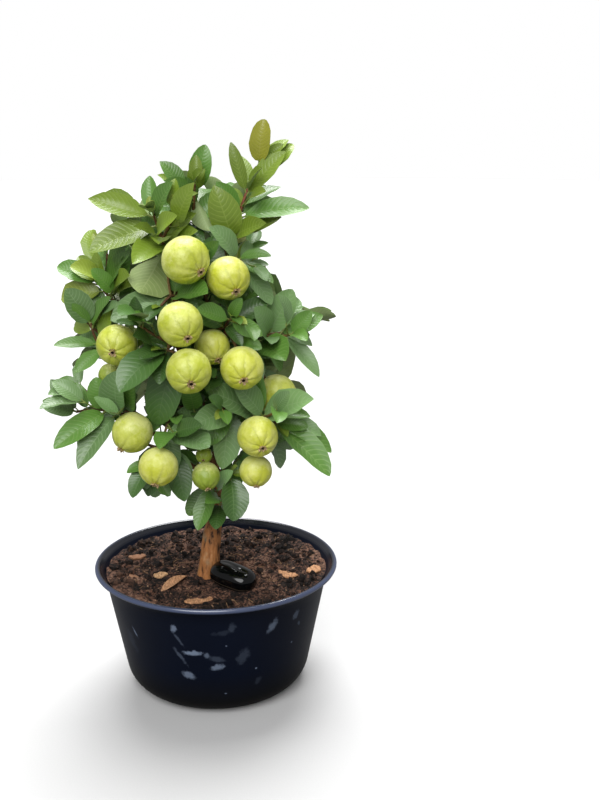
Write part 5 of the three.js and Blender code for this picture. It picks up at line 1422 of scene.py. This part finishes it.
# Guava bark: thin, smooth and dry, orange-brown where a plate has peeled, grey-green where it hasn't, with
# streaks 3 mm wide and 14 mm long, and fine cracks of 0.7 mm that run up the stem.
def guavaBark():
    finish, tree, shader, place = newFinish("guavaBark", {"Roughness": 0.68, "Specular IOR Level": 0.35})
    tall = addNode(tree, "Mapping", {"Scale": (330, 330, 70)}, {"Vector": place})
    streak = addNode(tree, "TexNoise", {"Scale": 1, "Detail": 6, "Roughness": 0.62}, {"Vector": tall})
    patch = addNode(tree, "TexNoise", {"Scale": 55, "Detail": 3}, {"Vector": place})
    shades = [(0.35, wood["dark"]), (0.46, wood["bark"]), (0.6, wood["peeled"]), (0.74, wood["pale"])]
    colour = addNode(tree, "ValToRGB", {"stops": shades}, {0: streak})
    green = addNode(tree, "MapRange", {1: 0.56, 2: 0.66, 3: 0, 4: 0.5}, {0: patch})
    aged = addNode(tree, "MixRGB", {"Color2": wood["lichen"]}, {"Fac": green, "Color1": colour})
    girth = addNode(tree, "Attribute", {"attribute_name": "girth"}).outputs["Fac"]
    thin = addNode(tree, "MapRange", {1: 0.62, 2: 0.36, 3: 0, 4: 0.75}, {0: girth})
    shade = addNode(tree, "MixRGB", {"Color2": wood["young"]}, {"Fac": thin, "Color1": aged})
    tight = addNode(tree, "Mapping", {"Scale": (1500, 1500, 420)}, {"Vector": place})
    crack = addNode(tree, "TexNoise", {"Scale": 1, "Detail": 4, "Roughness": 0.7}, {"Vector": tight})
    bump = addNode(tree, "Bump", {"Strength": 0.7, "Distance": 0.0003}, {"Height": crack})
    linkUp(tree, shader, {"Base Color": shade, "Normal": bump})
    return finish


buildWood()

# Twigs, leaf stalks and fruit stalks.
twigForm = {
    "steps": 14, "fineSteps": 7,
    "rooted": (1.6, 0.2),  # how deep a stem and a side shoot are set in what carries them
    "stalk": [0.95] * 7 + [1.05, 1.25, 1.5],  # a fruit stalk's radii
    "leafStalk": 0.72, "leafStalkTaper": (1.15, 0.8, 0.75, 0.5), "leafStalkDrop": -0.25,
    "finishes": [  # name, colour, darker colour, roughness; each a living shoot's skin at an age
        ("stemBark", "#6b4b2e", "#3d2a1a", 0.7), ("olderShoot", "#7a5a35", "#4c3a22", 0.65),
        ("redShoot", "#8c5138", "#56301f", 0.55), ("greenShoot", "#7f8a45", "#5a6a2e", 0.5),
        ("leafStalk", "#93a25a", "#6c7f3a", 0.5), ("fruitStalk", "#7d6038", "#4a3823", 0.65),
    ],
}


# A twig's skin: brown and slightly corky when old, smooth, green or flushed with red when young, and mottled
# in spots of 2.4 mm.
def twigSkin(name, colour, dark, roughness):
    finish, tree, shader, place = newFinish(name, {"Roughness": roughness, "Specular IOR Level": 0.4})
    mottle = addNode(tree, "TexNoise", {"Scale": 420, "Detail": 4, "Roughness": 0.6}, {"Vector": place})
    tint = addNode(tree, "ValToRGB", {"stops": [(0.32, dark), (0.6, colour)]}, {0: mottle})
    bump = addNode(tree, "Bump", {"Strength": 0.5, "Distance": 0.0002}, {"Height": mottle})
    linkUp(tree, shader, {"Base Color": tint, "Normal": bump})
    return finish


def usedShare(mass, curve):  # the share of a twig up to the last leaf, twig or stalk on it
    feet = [leafPoint(leaf, 0, 0) for leaf in mass["leaves"]]
    feet += [twig["curve"](0) for twig in mass["fineTwigs"]]
    feet += [fruit["stalk"](0) for fruit in mass["fruits"]]
    shares = np.linspace(0, 1, 41)
    path = np.array([curve(s) for s in shares])
    gaps = [np.linalg.norm(path - foot, axis=1) for foot in feet]
    return max([shares[gap.argmin()] for gap in gaps if gap.min() < 1], default=0)


def buildTwigs():
    tubes = []
    petiole = growth["petiole"]
    stalkShares = (0, 0.45 * petiole, petiole, petiole + 0.05)
    for mass in masses:
        young = mass["name"] == "top_right"
        for index, shoot in enumerate(mass["shoots"]):
            curve, side = shoot["curve"], int(index > 0)
            shares = np.linspace(0, min(usedShare(mass, curve) + 0.02, 1), twigForm["steps"])
            path = [curve(s) for s in shares]
            path[0] = path[0] - headingOf(curve, 0) * twigForm["rooted"][side]
            tubes.append((path, list(lerp(*shoot["radii"], shares ** 0.8)), 2 if young else side))
        for twig in mass["fineTwigs"]:
            path = [twig["curve"](s) for s in np.linspace(0, 1, twigForm["fineSteps"])]
            tubes.append((path, list(np.linspace(*twig["radii"], twigForm["fineSteps"])), 3))
        for fruit in mass["fruits"]:
            path = [fruit["stalk"](s) for s in np.linspace(0, 1.02, len(twigForm["stalk"]))]
            tubes.append((path, twigForm["stalk"], 5))
        for leaf in mass["leaves"]:
            path = [leafPoint(leaf, t, 0, height=twigForm["leafStalkDrop"]) for t in stalkShares]
            size = twigForm["leafStalk"] * (leaf["length"] / 36) ** 0.5
            tubes.append((path, [size * taper for taper in twigForm["leafStalkTaper"]], 4))
    finishes = [twigSkin(*values) for values in twigForm["finishes"]]
    twigs = tubePiece("guavaTwigs", tubes, 6, finishes)
    return finished(twigs, sharp=60)


buildTwigs()

# Leaves: closed blades with a folded midrib, a curl, a twist and a wavy margin.
blade = {
    "rings": 8, "columns": (-1, -0.52, 0, 0.52, 1), "thickness": 0.42, "rib": 0.45,
    "widest": 0.93, "fullness": 2.2, "bluntness": (0.62, 0.92), "pointed": (0.85, 1.1), "lopsided": 0.05,
    "wave": 0.08, "wavePlay": (0.3, 1.4), "waves": 2.3, "fold": 0.22, "foldPlay": (0.3, 1.5), "twist": 16,
    "seed": 900,
    "bluntAbove": 398, "freshAbove": 392, "bronzeAbove": 405,  # heights in the topmost shoot
    "uppers": {  # finish: blade, veins
        "deepLeaf": ("#42662a", "#618146"), "midLeaf": ("#5a8534", "#7fa055"),
        "freshLeaf": ("#768f2c", "#94a94b"), "limeLeaf": ("#93a73e", "#aebe63"),
        # The grey-green finish is a greyer leaf tone with the grey sheen of the side leaves painted into its
        # colour.
        "coolLeaf": ("#6e9057", "#8fac7a"), "bronzeLeaf": ("#8f9029", "#a5a14a"),
    },
    "unders": {"paleUnder": ("#8a9d68", "#a3b385"), "freshUnder": ("#90a364", "#adbb82")},
    # The grey-green finish dealt here paints the side leaves' sheen into their colour, besides a greyer
    # tone.
    "tones": {  # what each mass is dealt: finish and how often
        "top_right": {"freshLeaf": 3, "midLeaf": 5},
        "top_middle": {"midLeaf": 3, "freshLeaf": 2},
        "top_left": {"freshLeaf": 5, "midLeaf": 3},
        "upper_left": {"midLeaf": 3, "freshLeaf": 4, "limeLeaf": 1},
        "mid_left": {"coolLeaf": 3, "midLeaf": 3, "freshLeaf": 1},
        "low_left": {"coolLeaf": 4, "midLeaf": 2},
        "low_right": {"coolLeaf": 3, "midLeaf": 3},
        "mid_right": {"midLeaf": 3, "coolLeaf": 4},
        "upper_right": {"midLeaf": 3, "coolLeaf": 4, "freshLeaf": 1},
        "front_right": {"midLeaf": 3, "coolLeaf": 1, "deepLeaf": 1},
        "front": {"deepLeaf": 3, "midLeaf": 1},
        "heart_low": {"deepLeaf": 1},
        "heart_high": {"deepLeaf": 1},
        "": {"deepLeaf": 2, "midLeaf": 4, "coolLeaf": 2},  # all others
    },
    "pieces": {  # the masses that each piece of leaves replaces
        "leavesTop": ("top_right", "top_middle", "top_left", "heart_high"),
        "leavesLeft": ("upper_left", "mid_left", "low_left", "bottom_left"),
        "leavesRight": ("upper_right", "mid_right", "low_right", "front_right"),
        "leavesFront": ("upper_front", "front", "low_front", "low_mid", "bottom_front", "heart_low"),
        "leavesBack": (
            "back_top", "back_upper", "back_left", "back_right", "back_middle", "back_low", "back_low_right",
        ),
    },
}


def bladePattern():  # one blade's faces, their places across and along it, and which side each is on
    rings, columns = blade["rings"], blade["columns"]
    around = list(columns) + list(columns[-2:0:-1])
    count = len(around)
    shares = (1 - np.cos(pi * np.arange(1, rings + 1) / (rings + 1))) / 2
    faces, uvs, under = [], [], []
    first, last = rings * count, rings * count + 1
    for j in range(count):
        a, b = around[j], around[(j + 1) % count]
        k = (j + 1) % count
        below = j >= len(columns) - 1
        middle = (a + b) / 2
        faces.append((first, k, j))
        uvs.append(((middle, 0), (b, shares[0]), (a, shares[0])))
        for i in range(rings - 1):
            low, high = i * count, (i + 1) * count
            corners = [(low + j, a, shares[i]), (low + k, b, shares[i]), (high + k, b, shares[i + 1])]
            corners.append((high + j, a, shares[i + 1]))
            corners = corners[below:] + corners[:below]  # both sides are split along the same diagonal
            faces.append(tuple(corner[0] for corner in corners))
            uvs.append(tuple(corner[1:] for corner in corners))
        faces.append(((rings - 1) * count + j, (rings - 1) * count + k, last))
        uvs.append(((a, shares[-1]), (b, shares[-1]), (middle, 1)))
        under += [below] * (rings + 1)
    return faces, uvs, under, shares, np.array(around)


def bladePoints(leaf, shares, around, random, pointed=False):  # its rings of points, then its two ends
    u, across = np.meshgrid(shares, around, indexing="ij")
    ends = random.uniform(*blade["pointed" if pointed else "bluntness"])
    half = leaf["width"] / 2 * (1 - np.abs(2 * u ** blade["widest"] - 1) ** blade["fullness"]) ** ends
    half = half * (1 + blade["lopsided"] * random.uniform(-1, 1) * np.sign(across))
    wave = blade["wave"] * random.uniform(*blade["wavePlay"]) * half * across**2
    wave = wave * np.sin(2 * pi * blade["waves"] * u + random.uniform(0, 2 * pi) + 0.9 * np.sign(across))
    fold = growth["fold"] * (np.abs(across) ** 1.35 - np.abs(across)) * half * 1.2
    fold = fold + blade["fold"] * random.uniform(*blade["foldPlay"]) * np.abs(across) * half
    twist = radians(blade["twist"]) * random.uniform(-1, 1) * (u - 0.15)
    height = wave + fold + across * half * np.sin(twist)
    under = np.arange(len(around)) >= len(blade["columns"])
    thick = np.where(under, blade["thickness"] * np.sqrt(np.clip(half / 6, 0.1, 1)), 0)
    thick = thick + np.where(np.abs(across) < 0.01, np.where(under, blade["rib"] * (1.1 - u), 0.12), 0)
    t = growth["petiole"] + (1 - growth["petiole"]) * u
    points = leafPoint(leaf, t, across, half, height - thick)
    ends = leafPoint(leaf, [growth["petiole"], 1], 0, height=[-0.25, -0.1])
    return np.vstack([points.reshape(-1, 3), ends])


# A guava leaf's upper side: leathery, satin from its cuticle, quilted between some 11 pairs of side veins,
# which are sunken and pale, and mottled in patches of 8 mm. Its under side is paler and matt, with the veins
# standing out.
def leafSkin(name, colour, veins, under):
    finish, tree, shader, place = newFinish(name, {
        "Roughness": 0.62 if under else 0.37, "IOR": 1.45, "Specular IOR Level": 0.3 if under else 0.8,
    })
    flat = addNode(tree, "UVMap", {"uv_map": "leaf"})
    across, along, _ = addNode(tree, "SeparateXYZ", {}, {0: flat}).outputs
    centred = addNode(tree, "Math", {"operation": "MULTIPLY_ADD", 1: 2, 2: -1}, {0: across})
    away = addNode(tree, "Math", {"operation": "ABSOLUTE"}, {0: centred})
    taper = addNode(tree, "Math", {"operation": "MULTIPLY_ADD", 1: -0.045, 2: 0.075}, {0: along})
    rib = addNode(tree, "MapRange", {3: 1, 4: 0}, {0: away, 2: taper})
    bow = addNode(tree, "Math", {"operation": "POWER", 1: 1.4}, {0: away})
    rise = addNode(tree, "Math", {"operation": "MULTIPLY", 1: -2.3}, {0: bow})
    phase = addNode(tree, "Math", {"operation": "MULTIPLY_ADD", 1: 11.5}, {0: along, 2: rise})
    wave = addNode(tree, "Math", {"operation": "PINGPONG", 1: 0.5}, {0: phase})
    vein = addNode(tree, "MapRange", {1: 0.14, 2: 0.02, 3: 0, 4: 0.85}, {0: wave})
    edge = addNode(tree, "MapRange", {1: 0.95, 2: 0.78, 3: 0, 4: 1}, {0: away})
    lateral = addNode(tree, "Math", {"operation": "MULTIPLY"}, {0: vein, 1: edge})
    net = addNode(tree, "Math", {"operation": "MAXIMUM"}, {0: rib, 1: lateral})
    mottle = addNode(tree, "TexNoise", {"Scale": 130, "Detail": 3}, {"Vector": place})
    tone = addNode(tree, "Attribute", {"attribute_name": "tone"}).outputs["Fac"]
    dapple = addNode(tree, "Math", {"operation": "MULTIPLY_ADD", 1: 0.5}, {0: mottle, 2: tone})
    value = addNode(tree, "MapRange", {1: 0, 2: 1.5, 3: 0.66, 4: 1.38}, {0: dapple})
    body = addNode(tree, "HueSaturation", {"Color": colour}, {"Value": value})
    strength = addNode(tree, "Math", {"operation": "MULTIPLY", 1: 0.75 if under else 0.64}, {0: net})
    shade = addNode(tree, "MixRGB", {"Color2": veins}, {"Color1": body, "Fac": strength})
    margin = addNode(tree, "MapRange", {1: 0.955, 2: 0.985, 3: 0, 4: 0.45}, {0: away})
    edged = addNode(tree, "MixRGB", {"Color2": veins}, {"Fac": margin, "Color1": shade})
    puff = addNode(tree, "MapRange", {"interpolation_type": "SMOOTHSTEP", 2: 0.5, 3: 0, 4: 0.5}, {0: wave})
    drop = addNode(tree, "Math", {"operation": "MULTIPLY", 1: 1.0 if under else -0.8}, {0: net})
    relief = addNode(tree, "Math", {"operation": "ADD"}, {0: puff, 1: drop})
    bump = addNode(tree, "Bump", {"Strength": 0.25, "Distance": 0.00035}, {"Height": relief})
    linkUp(tree, shader, {"Base Color": edged, "Normal": bump})
    return finish


def dealtTone(mass, leaf, random):  # which upper finish a leaf takes
    tip = leafPoint(leaf, 1, 0)
    if mass["name"] == "top_right" and tip[2] > blade["freshAbove"]:
        return "bronzeLeaf" if tip[2] > blade["bronzeAbove"] else "freshLeaf"
    if leaf.get("young"):
        return "limeLeaf" if random.random() < 0.5 else "freshLeaf"
    tones = blade["tones"].get(mass["name"], blade["tones"][""])
    odds = np.array(list(tones.values()), float)
    return list(tones)[random.choice(len(tones), p=odds / odds.sum())]


def buildLeaves():
    faces, uvs, under, shares, around = bladePattern()
    uppers, unders = list(blade["uppers"]), list(blade["unders"])
    finishes = [leafSkin(n, *blade["uppers"][n], False) for n in uppers]
    finishes += [leafSkin(n, *blade["unders"][n], True) for n in unders]
    named = {mass["name"]: mass for mass in masses}
    random = np.random.default_rng(blade["seed"])
    loopUv = np.array([pair for face in uvs for pair in face])
    loopUnder = np.array([side for face, side in zip(faces, under) for _ in face])
    for piece, names in blade["pieces"].items():
        points, allFaces, shades, tones = [], [], [], []
        for name in names:
            for leaf in named[name]["leaves"]:
                pointed = name.startswith("top") and leafPoint(leaf, 1, 0)[2] < blade["bluntAbove"]
                made = bladePoints(leaf, shares, around, random, pointed)
                addCopy(points, allFaces, made, faces)
                tone = dealtTone(named[name], leaf, random)
                pale = len(uppers) + (tone in ("freshLeaf", "limeLeaf", "bronzeLeaf"))
                shades += [pale if side else uppers.index(tone) for side in under]
                tones += [random.random()] * len(made)
        count = len(points)
        leaves = fromArrays(piece, np.concatenate(points), allFaces, finishes)
        leaves.data.polygons.foreach_set("material_index", shades)
        own = leaves.data.uv_layers.new(name="leaf")
        own.data.foreach_set("uv", np.tile(loopUv * [0.5, 1] + [0.5, 0], (count, 1)).ravel())
        columns = ceil(sqrt(4 * count))
        rows = ceil(2 * count / columns)
        cells = 2 * np.repeat(np.arange(count), len(loopUv)) + np.tile(loopUnder, count)
        spread = np.tile((loopUv * [0.5, 1] + [0.5, 0]) * 0.9 + 0.05, (count, 1))
        atlas = (spread + np.stack([cells % columns, cells // columns], 1)) / [columns, rows]
        leaves.data.uv_layers.new(name="OFBake").data.foreach_set("uv", atlas.ravel())
        marked(leaves, "tone", tones)
        faceOutwards(leaves)
        finished(leaves, ["mass_" + name for name in names], 60)


buildLeaves()

# Guavas: modelled once, then copied, turned and joined.
guava = {
    "segments": 48, "rings": 28, "ribs": 8, "ribDepth": 0.017, "faceting": 0.016,
    "eyeDimple": (0.05, 0.26), "stalkDimple": (0.06, 0.3),  # depth, and reach as an angle
    "eye": 0.11, "eyeSteps": ((0.0, 0.88), (-0.05, 0.96), (-0.06, 1.2), (0.01, 0.78), (0.1, 0.8)),
    "size": 14, "sepals": 6, "sepalPlay": 0.2, "sepalFlare": (0.5, 1.6), "sepalHang": 0.8,
    "sepalLength": (1.7, 2.6), "sepalForm": (radians(60), 0.2, 0.85),  # curl, roll and width
    "greenUpTo": 10, "turningShare": 0.3, "stretch": (0.97, 1.04), "seed": 60,
    "skins": {  # finish: colour and paler colour
        "ripeGuavaSkin": ("#c9cf3a", "#e0e274"), "turningGuavaSkin": ("#bcc638", "#d6dc6c"),
        "greenGuavaSkin": ("#8ca328", "#a3b545"),
    },
    # The pale colour is a painted highlight on each fruit's top; the furrows' colour is painted shade in the
    # grooves.
    "speck": "#8f8a3c", "bloom": "#ecee9e", "furrow": "#868c22",
    "calyx": {"dryCalyx": ("#d8bf90", "#6e5034"), "calyxCup": ("#33241a", "#2c1c10")},
}


# Guava skin: thin, waxy and a little translucent, pale yellow-green, clouded in patches of 8 mm, with a pale
# ragged patch over its shoulders towards the stalk, a painted highlight and painted light on the fruit's
# top, furrows towards the eye painted darker as painted shade, and a few specks 2 mm apart.
def guavaSkin(name, colour, pale):
    finish, tree, shader, place = newFinish(name, {
        "Roughness": 0.4, "IOR": 1.45, "Specular IOR Level": 0.9, "Subsurface Weight": 0.08,
        "Subsurface Scale": 0.004, "Subsurface Radius": (1.0, 0.9, 0.3),
    })
    own = addNode(tree, "Attribute", {"attribute_name": "own"}).outputs["Vector"]
    x, y, z = addNode(tree, "SeparateXYZ", {}, {0: own}).outputs
    cloud = addNode(tree, "TexNoise", {"Scale": 120, "Detail": 4, "Roughness": 0.6}, {"Vector": place})
    bearing = addNode(tree, "Math", {"operation": "ARCTAN2"}, {0: y, 1: x})
    ribs = addNode(tree, "Math", {"operation": "MULTIPLY", 1: guava["ribs"] / 2}, {0: bearing})
    wander = addNode(tree, "Math", {"operation": "MULTIPLY_ADD", 1: 3.4}, {0: cloud, 2: ribs})
    wave = addNode(tree, "Math", {"operation": "SINE"}, {0: wander})
    furrow = addNode(tree, "Math", {"operation": "ABSOLUTE"}, {0: wave})
    soft = {"interpolation_type": "SMOOTHSTEP", 1: 0.55, 2: 0.0, 3: 0, 4: 1}
    line = addNode(tree, "MapRange", soft, {0: furrow})
    reach = addNode(tree, "MapRange", {1: 0.25, 2: -0.85, 3: 0, 4: 1}, {0: z})
    groove = addNode(tree, "Math", {"operation": "MULTIPLY"}, {0: line, 1: reach})
    mix = addNode(tree, "MapRange", {1: 0.42, 2: 0.66}, {0: cloud})
    plain = addNode(tree, "MixRGB", {"Color1": colour, "Color2": pale}, {"Fac": mix})
    ragged = addNode(tree, "TexNoise", {"Scale": 210, "Detail": 5, "Roughness": 0.65}, {"Vector": place})
    # Paler towards the stalk end, the top as the fruit hangs: a painted highlight and painted light on the
    # lit top.
    edge = addNode(tree, "Math", {"operation": "MULTIPLY_ADD", 1: 2.2}, {0: ragged, 2: z})
    litTopShare = addNode(tree, "MapRange", {1: 0.85, 2: 1.55, 3: 0, 4: 0.68}, {0: edge})
    withTopHighlight = addNode(tree, "MixRGB", {"Color2": guava["bloom"]}, {"Fac": litTopShare, "Color1": plain})
    # Darker along the furrows: painted shade in the grooves, on top of their relief.
    depth = addNode(tree, "Math", {"operation": "MULTIPLY", 1: 0.27}, {0: groove})
    body = addNode(tree, "MixRGB", {"Color2": guava["furrow"]}, {"Fac": depth, "Color1": withTopHighlight})
    cells = addNode(tree, "TexVoronoi", {"Scale": 420}, {"Vector": place})
    dots = addNode(tree, "MapRange", {1: 0.11, 2: 0.07, 3: 0, 4: 0.55}, {0: cells})
    rare = addNode(tree, "SeparateColor", {}, {0: cells.outputs["Color"]})
    some = addNode(tree, "MapRange", {1: 0.8, 2: 0.85}, {0: rare})
    speck = addNode(tree, "Math", {"operation": "MULTIPLY"}, {0: dots, 1: some})
    shade = addNode(tree, "MixRGB", {"Color2": guava["speck"]}, {"Fac": speck, "Color1": body})
    skin = addNode(tree, "TexNoise", {"Scale": 260, "Detail": 6, "Roughness": 0.62}, {"Vector": place})
    dents = addNode(tree, "Math", {"operation": "MULTIPLY_ADD", 1: -0.24}, {0: groove, 2: skin})
    bump = addNode(tree, "Bump", {"Strength": 0.68, "Distance": 0.0009}, {"Height": dents})
    linkUp(tree, shader, {"Base Color": shade, "Normal": bump})
    return finish


# The dried eye and its sepals: papery, brown and dull, with a grain of 1.4 mm.
def dryCalyx(name, colour, dark):
    finish, tree, shader, place = newFinish(name, {"Roughness": 0.85, "Specular IOR Level": 0.25})
    grain = addNode(tree, "TexNoise", {"Scale": 700, "Detail": 4, "Roughness": 0.7}, {"Vector": place})
    tint = addNode(tree, "ValToRGB", {"stops": [(0.3, dark), (0.65, colour)]}, {0: grain})
    bump = addNode(tree, "Bump", {"Strength": 0.6, "Distance": 0.0002}, {"Height": grain})
    linkUp(tree, shader, {"Base Color": tint, "Normal": bump})
    return finish


def dimple(angle, depth, reach):
    return depth * np.exp(-((angle / reach) ** 2))


# One fruit of radius 1 with its eye at the bottom. Skin, eye and cup are slots 0, 3 and 4.
def modelGuava():
    bpy.ops.mesh.primitive_uv_sphere_add(segments=guava["segments"], ring_count=guava["rings"], radius=1)
    fruit = bpy.context.object
    fruit.name = "oneGuava"
    points = pointsOf(fruit) * mm
    angle = np.arctan2(points[:, 1], points[:, 0])
    tilt = np.arccos(np.clip(-points[:, 2], -1, 1))
    towardsEye = 1 - smoothstep(tilt, 0.25, 1.5)
    ribs = np.cos(guava["ribs"] * angle + 0.8 * np.sin(2 * angle)) * towardsEye
    swell = 1 + guava["ribDepth"] * ribs + guava["faceting"] * ripple(points, 0.5, 4, 2)
    swell -= dimple(tilt, *guava["eyeDimple"]) + dimple(pi - tilt, *guava["stalkDimple"])
    movePoints(fruit, points * swell[:, None] / mm)
    data = fruit.data
    mark = data.attributes.new("own", "FLOAT_VECTOR", "POINT")
    mark.data.foreach_set("vector", points.ravel())
    bpy.ops.object.mode_set(mode="EDIT")
    bpy.ops.mesh.select_mode(type="FACE")
    bpy.ops.mesh.select_all(action="DESELECT")
    bpy.ops.object.mode_set(mode="OBJECT")
    for face in data.polygons:
        face.select = face.center.z < 0 and hypot(*face.center.xy) < guava["eye"]
    bpy.ops.object.mode_set(mode="EDIT")
    for drop, size in guava["eyeSteps"]:
        bpy.ops.mesh.extrude_region_move(TRANSFORM_OT_translate={"value": (0, 0, drop)})
        bpy.ops.transform.resize(value=(size, size, 1), center_override=(0, 0, -1))
    bpy.ops.object.mode_set(mode="OBJECT")
    for face in data.polygons:
        out = hypot(*face.center.xy)
        if face.center.z < -0.9 and out < guava["eye"] * 1.15:
            face.material_index = 4 if out < guava["eye"] * 0.7 else 3
    return fruit


def sepalsOf(random):  # the eye's dried sepals, made as small blades that bend back
    faces, _, _, shares, around = bladePattern()
    points, allFaces = [], []
    for index in range(guava["sepals"]):
        play = random.uniform(-guava["sepalPlay"], guava["sepalPlay"])
        turn = 2 * pi * index / guava["sepals"] + play
        out = np.array([cos(turn), sin(turn), 0])
        root = (out * guava["eye"] * 0.75 - upward * 0.99) * guava["size"]
        heading = unit(out * random.uniform(*guava["sepalFlare"]) - upward * guava["sepalHang"])
        tip = root + heading * random.uniform(*guava["sepalLength"])
        leaf = leafBetween(root, tip, unit(out * 0.4 + upward), *guava["sepalForm"])
        addCopy(points, allFaces, bladePoints(leaf, shares, around, random) / guava["size"], faces)
    return np.concatenate(points), allFaces


def buildGuavas():
    random = np.random.default_rng(guava["seed"])
    model = modelGuava()
    finishes = [guavaSkin(name, *shades) for name, shades in guava["skins"].items()]
    finishes += [dryCalyx(name, *shades) for name, shades in guava["calyx"].items()]
    copies = []
    for fruit in crown["fruits"]:
        copy = model.copy()
        copy.data = model.data.copy()
        bpy.context.scene.collection.objects.link(copy)
        sepalPoints, sepalFaces = sepalsOf(random)
        skin = 2 if fruit["radius"] < guava["greenUpTo"] else int(random.random() < guava["turningShare"])
        for face in copy.data.polygons:
            face.material_index = face.material_index or skin
        size = fruit["radius"] * mm
        grown = Matrix.Diagonal((size, size, size * random.uniform(*guava["stretch"]), 1))
        place = Matrix.Translation(Vector(fruit["centre"]) * mm)
        turn = Vector((0, 0, -1)).rotation_difference(Vector(fruit["aim"])).to_matrix().to_4x4()
        place = place @ turn @ Matrix.Rotation(random.uniform(0, 2 * pi), 4, "Z") @ grown
        sepals = fromArrays("sepals", sepalPoints / mm, sepalFaces, ())
        for finish in finishes:
            copy.data.materials.append(finish)
            sepals.data.materials.append(finish)
        for face in sepals.data.polygons:
            face.material_index = 3
        copy.data.transform(place)
        sepals.data.transform(place)
        copies += [copy, sepals]
    bpy.data.objects.remove(model)
    fruits = joined(copies, "guavas")
    faceOutwards(fruits)
    return finished(fruits, sharp=60)


buildGuavas()

print("done")
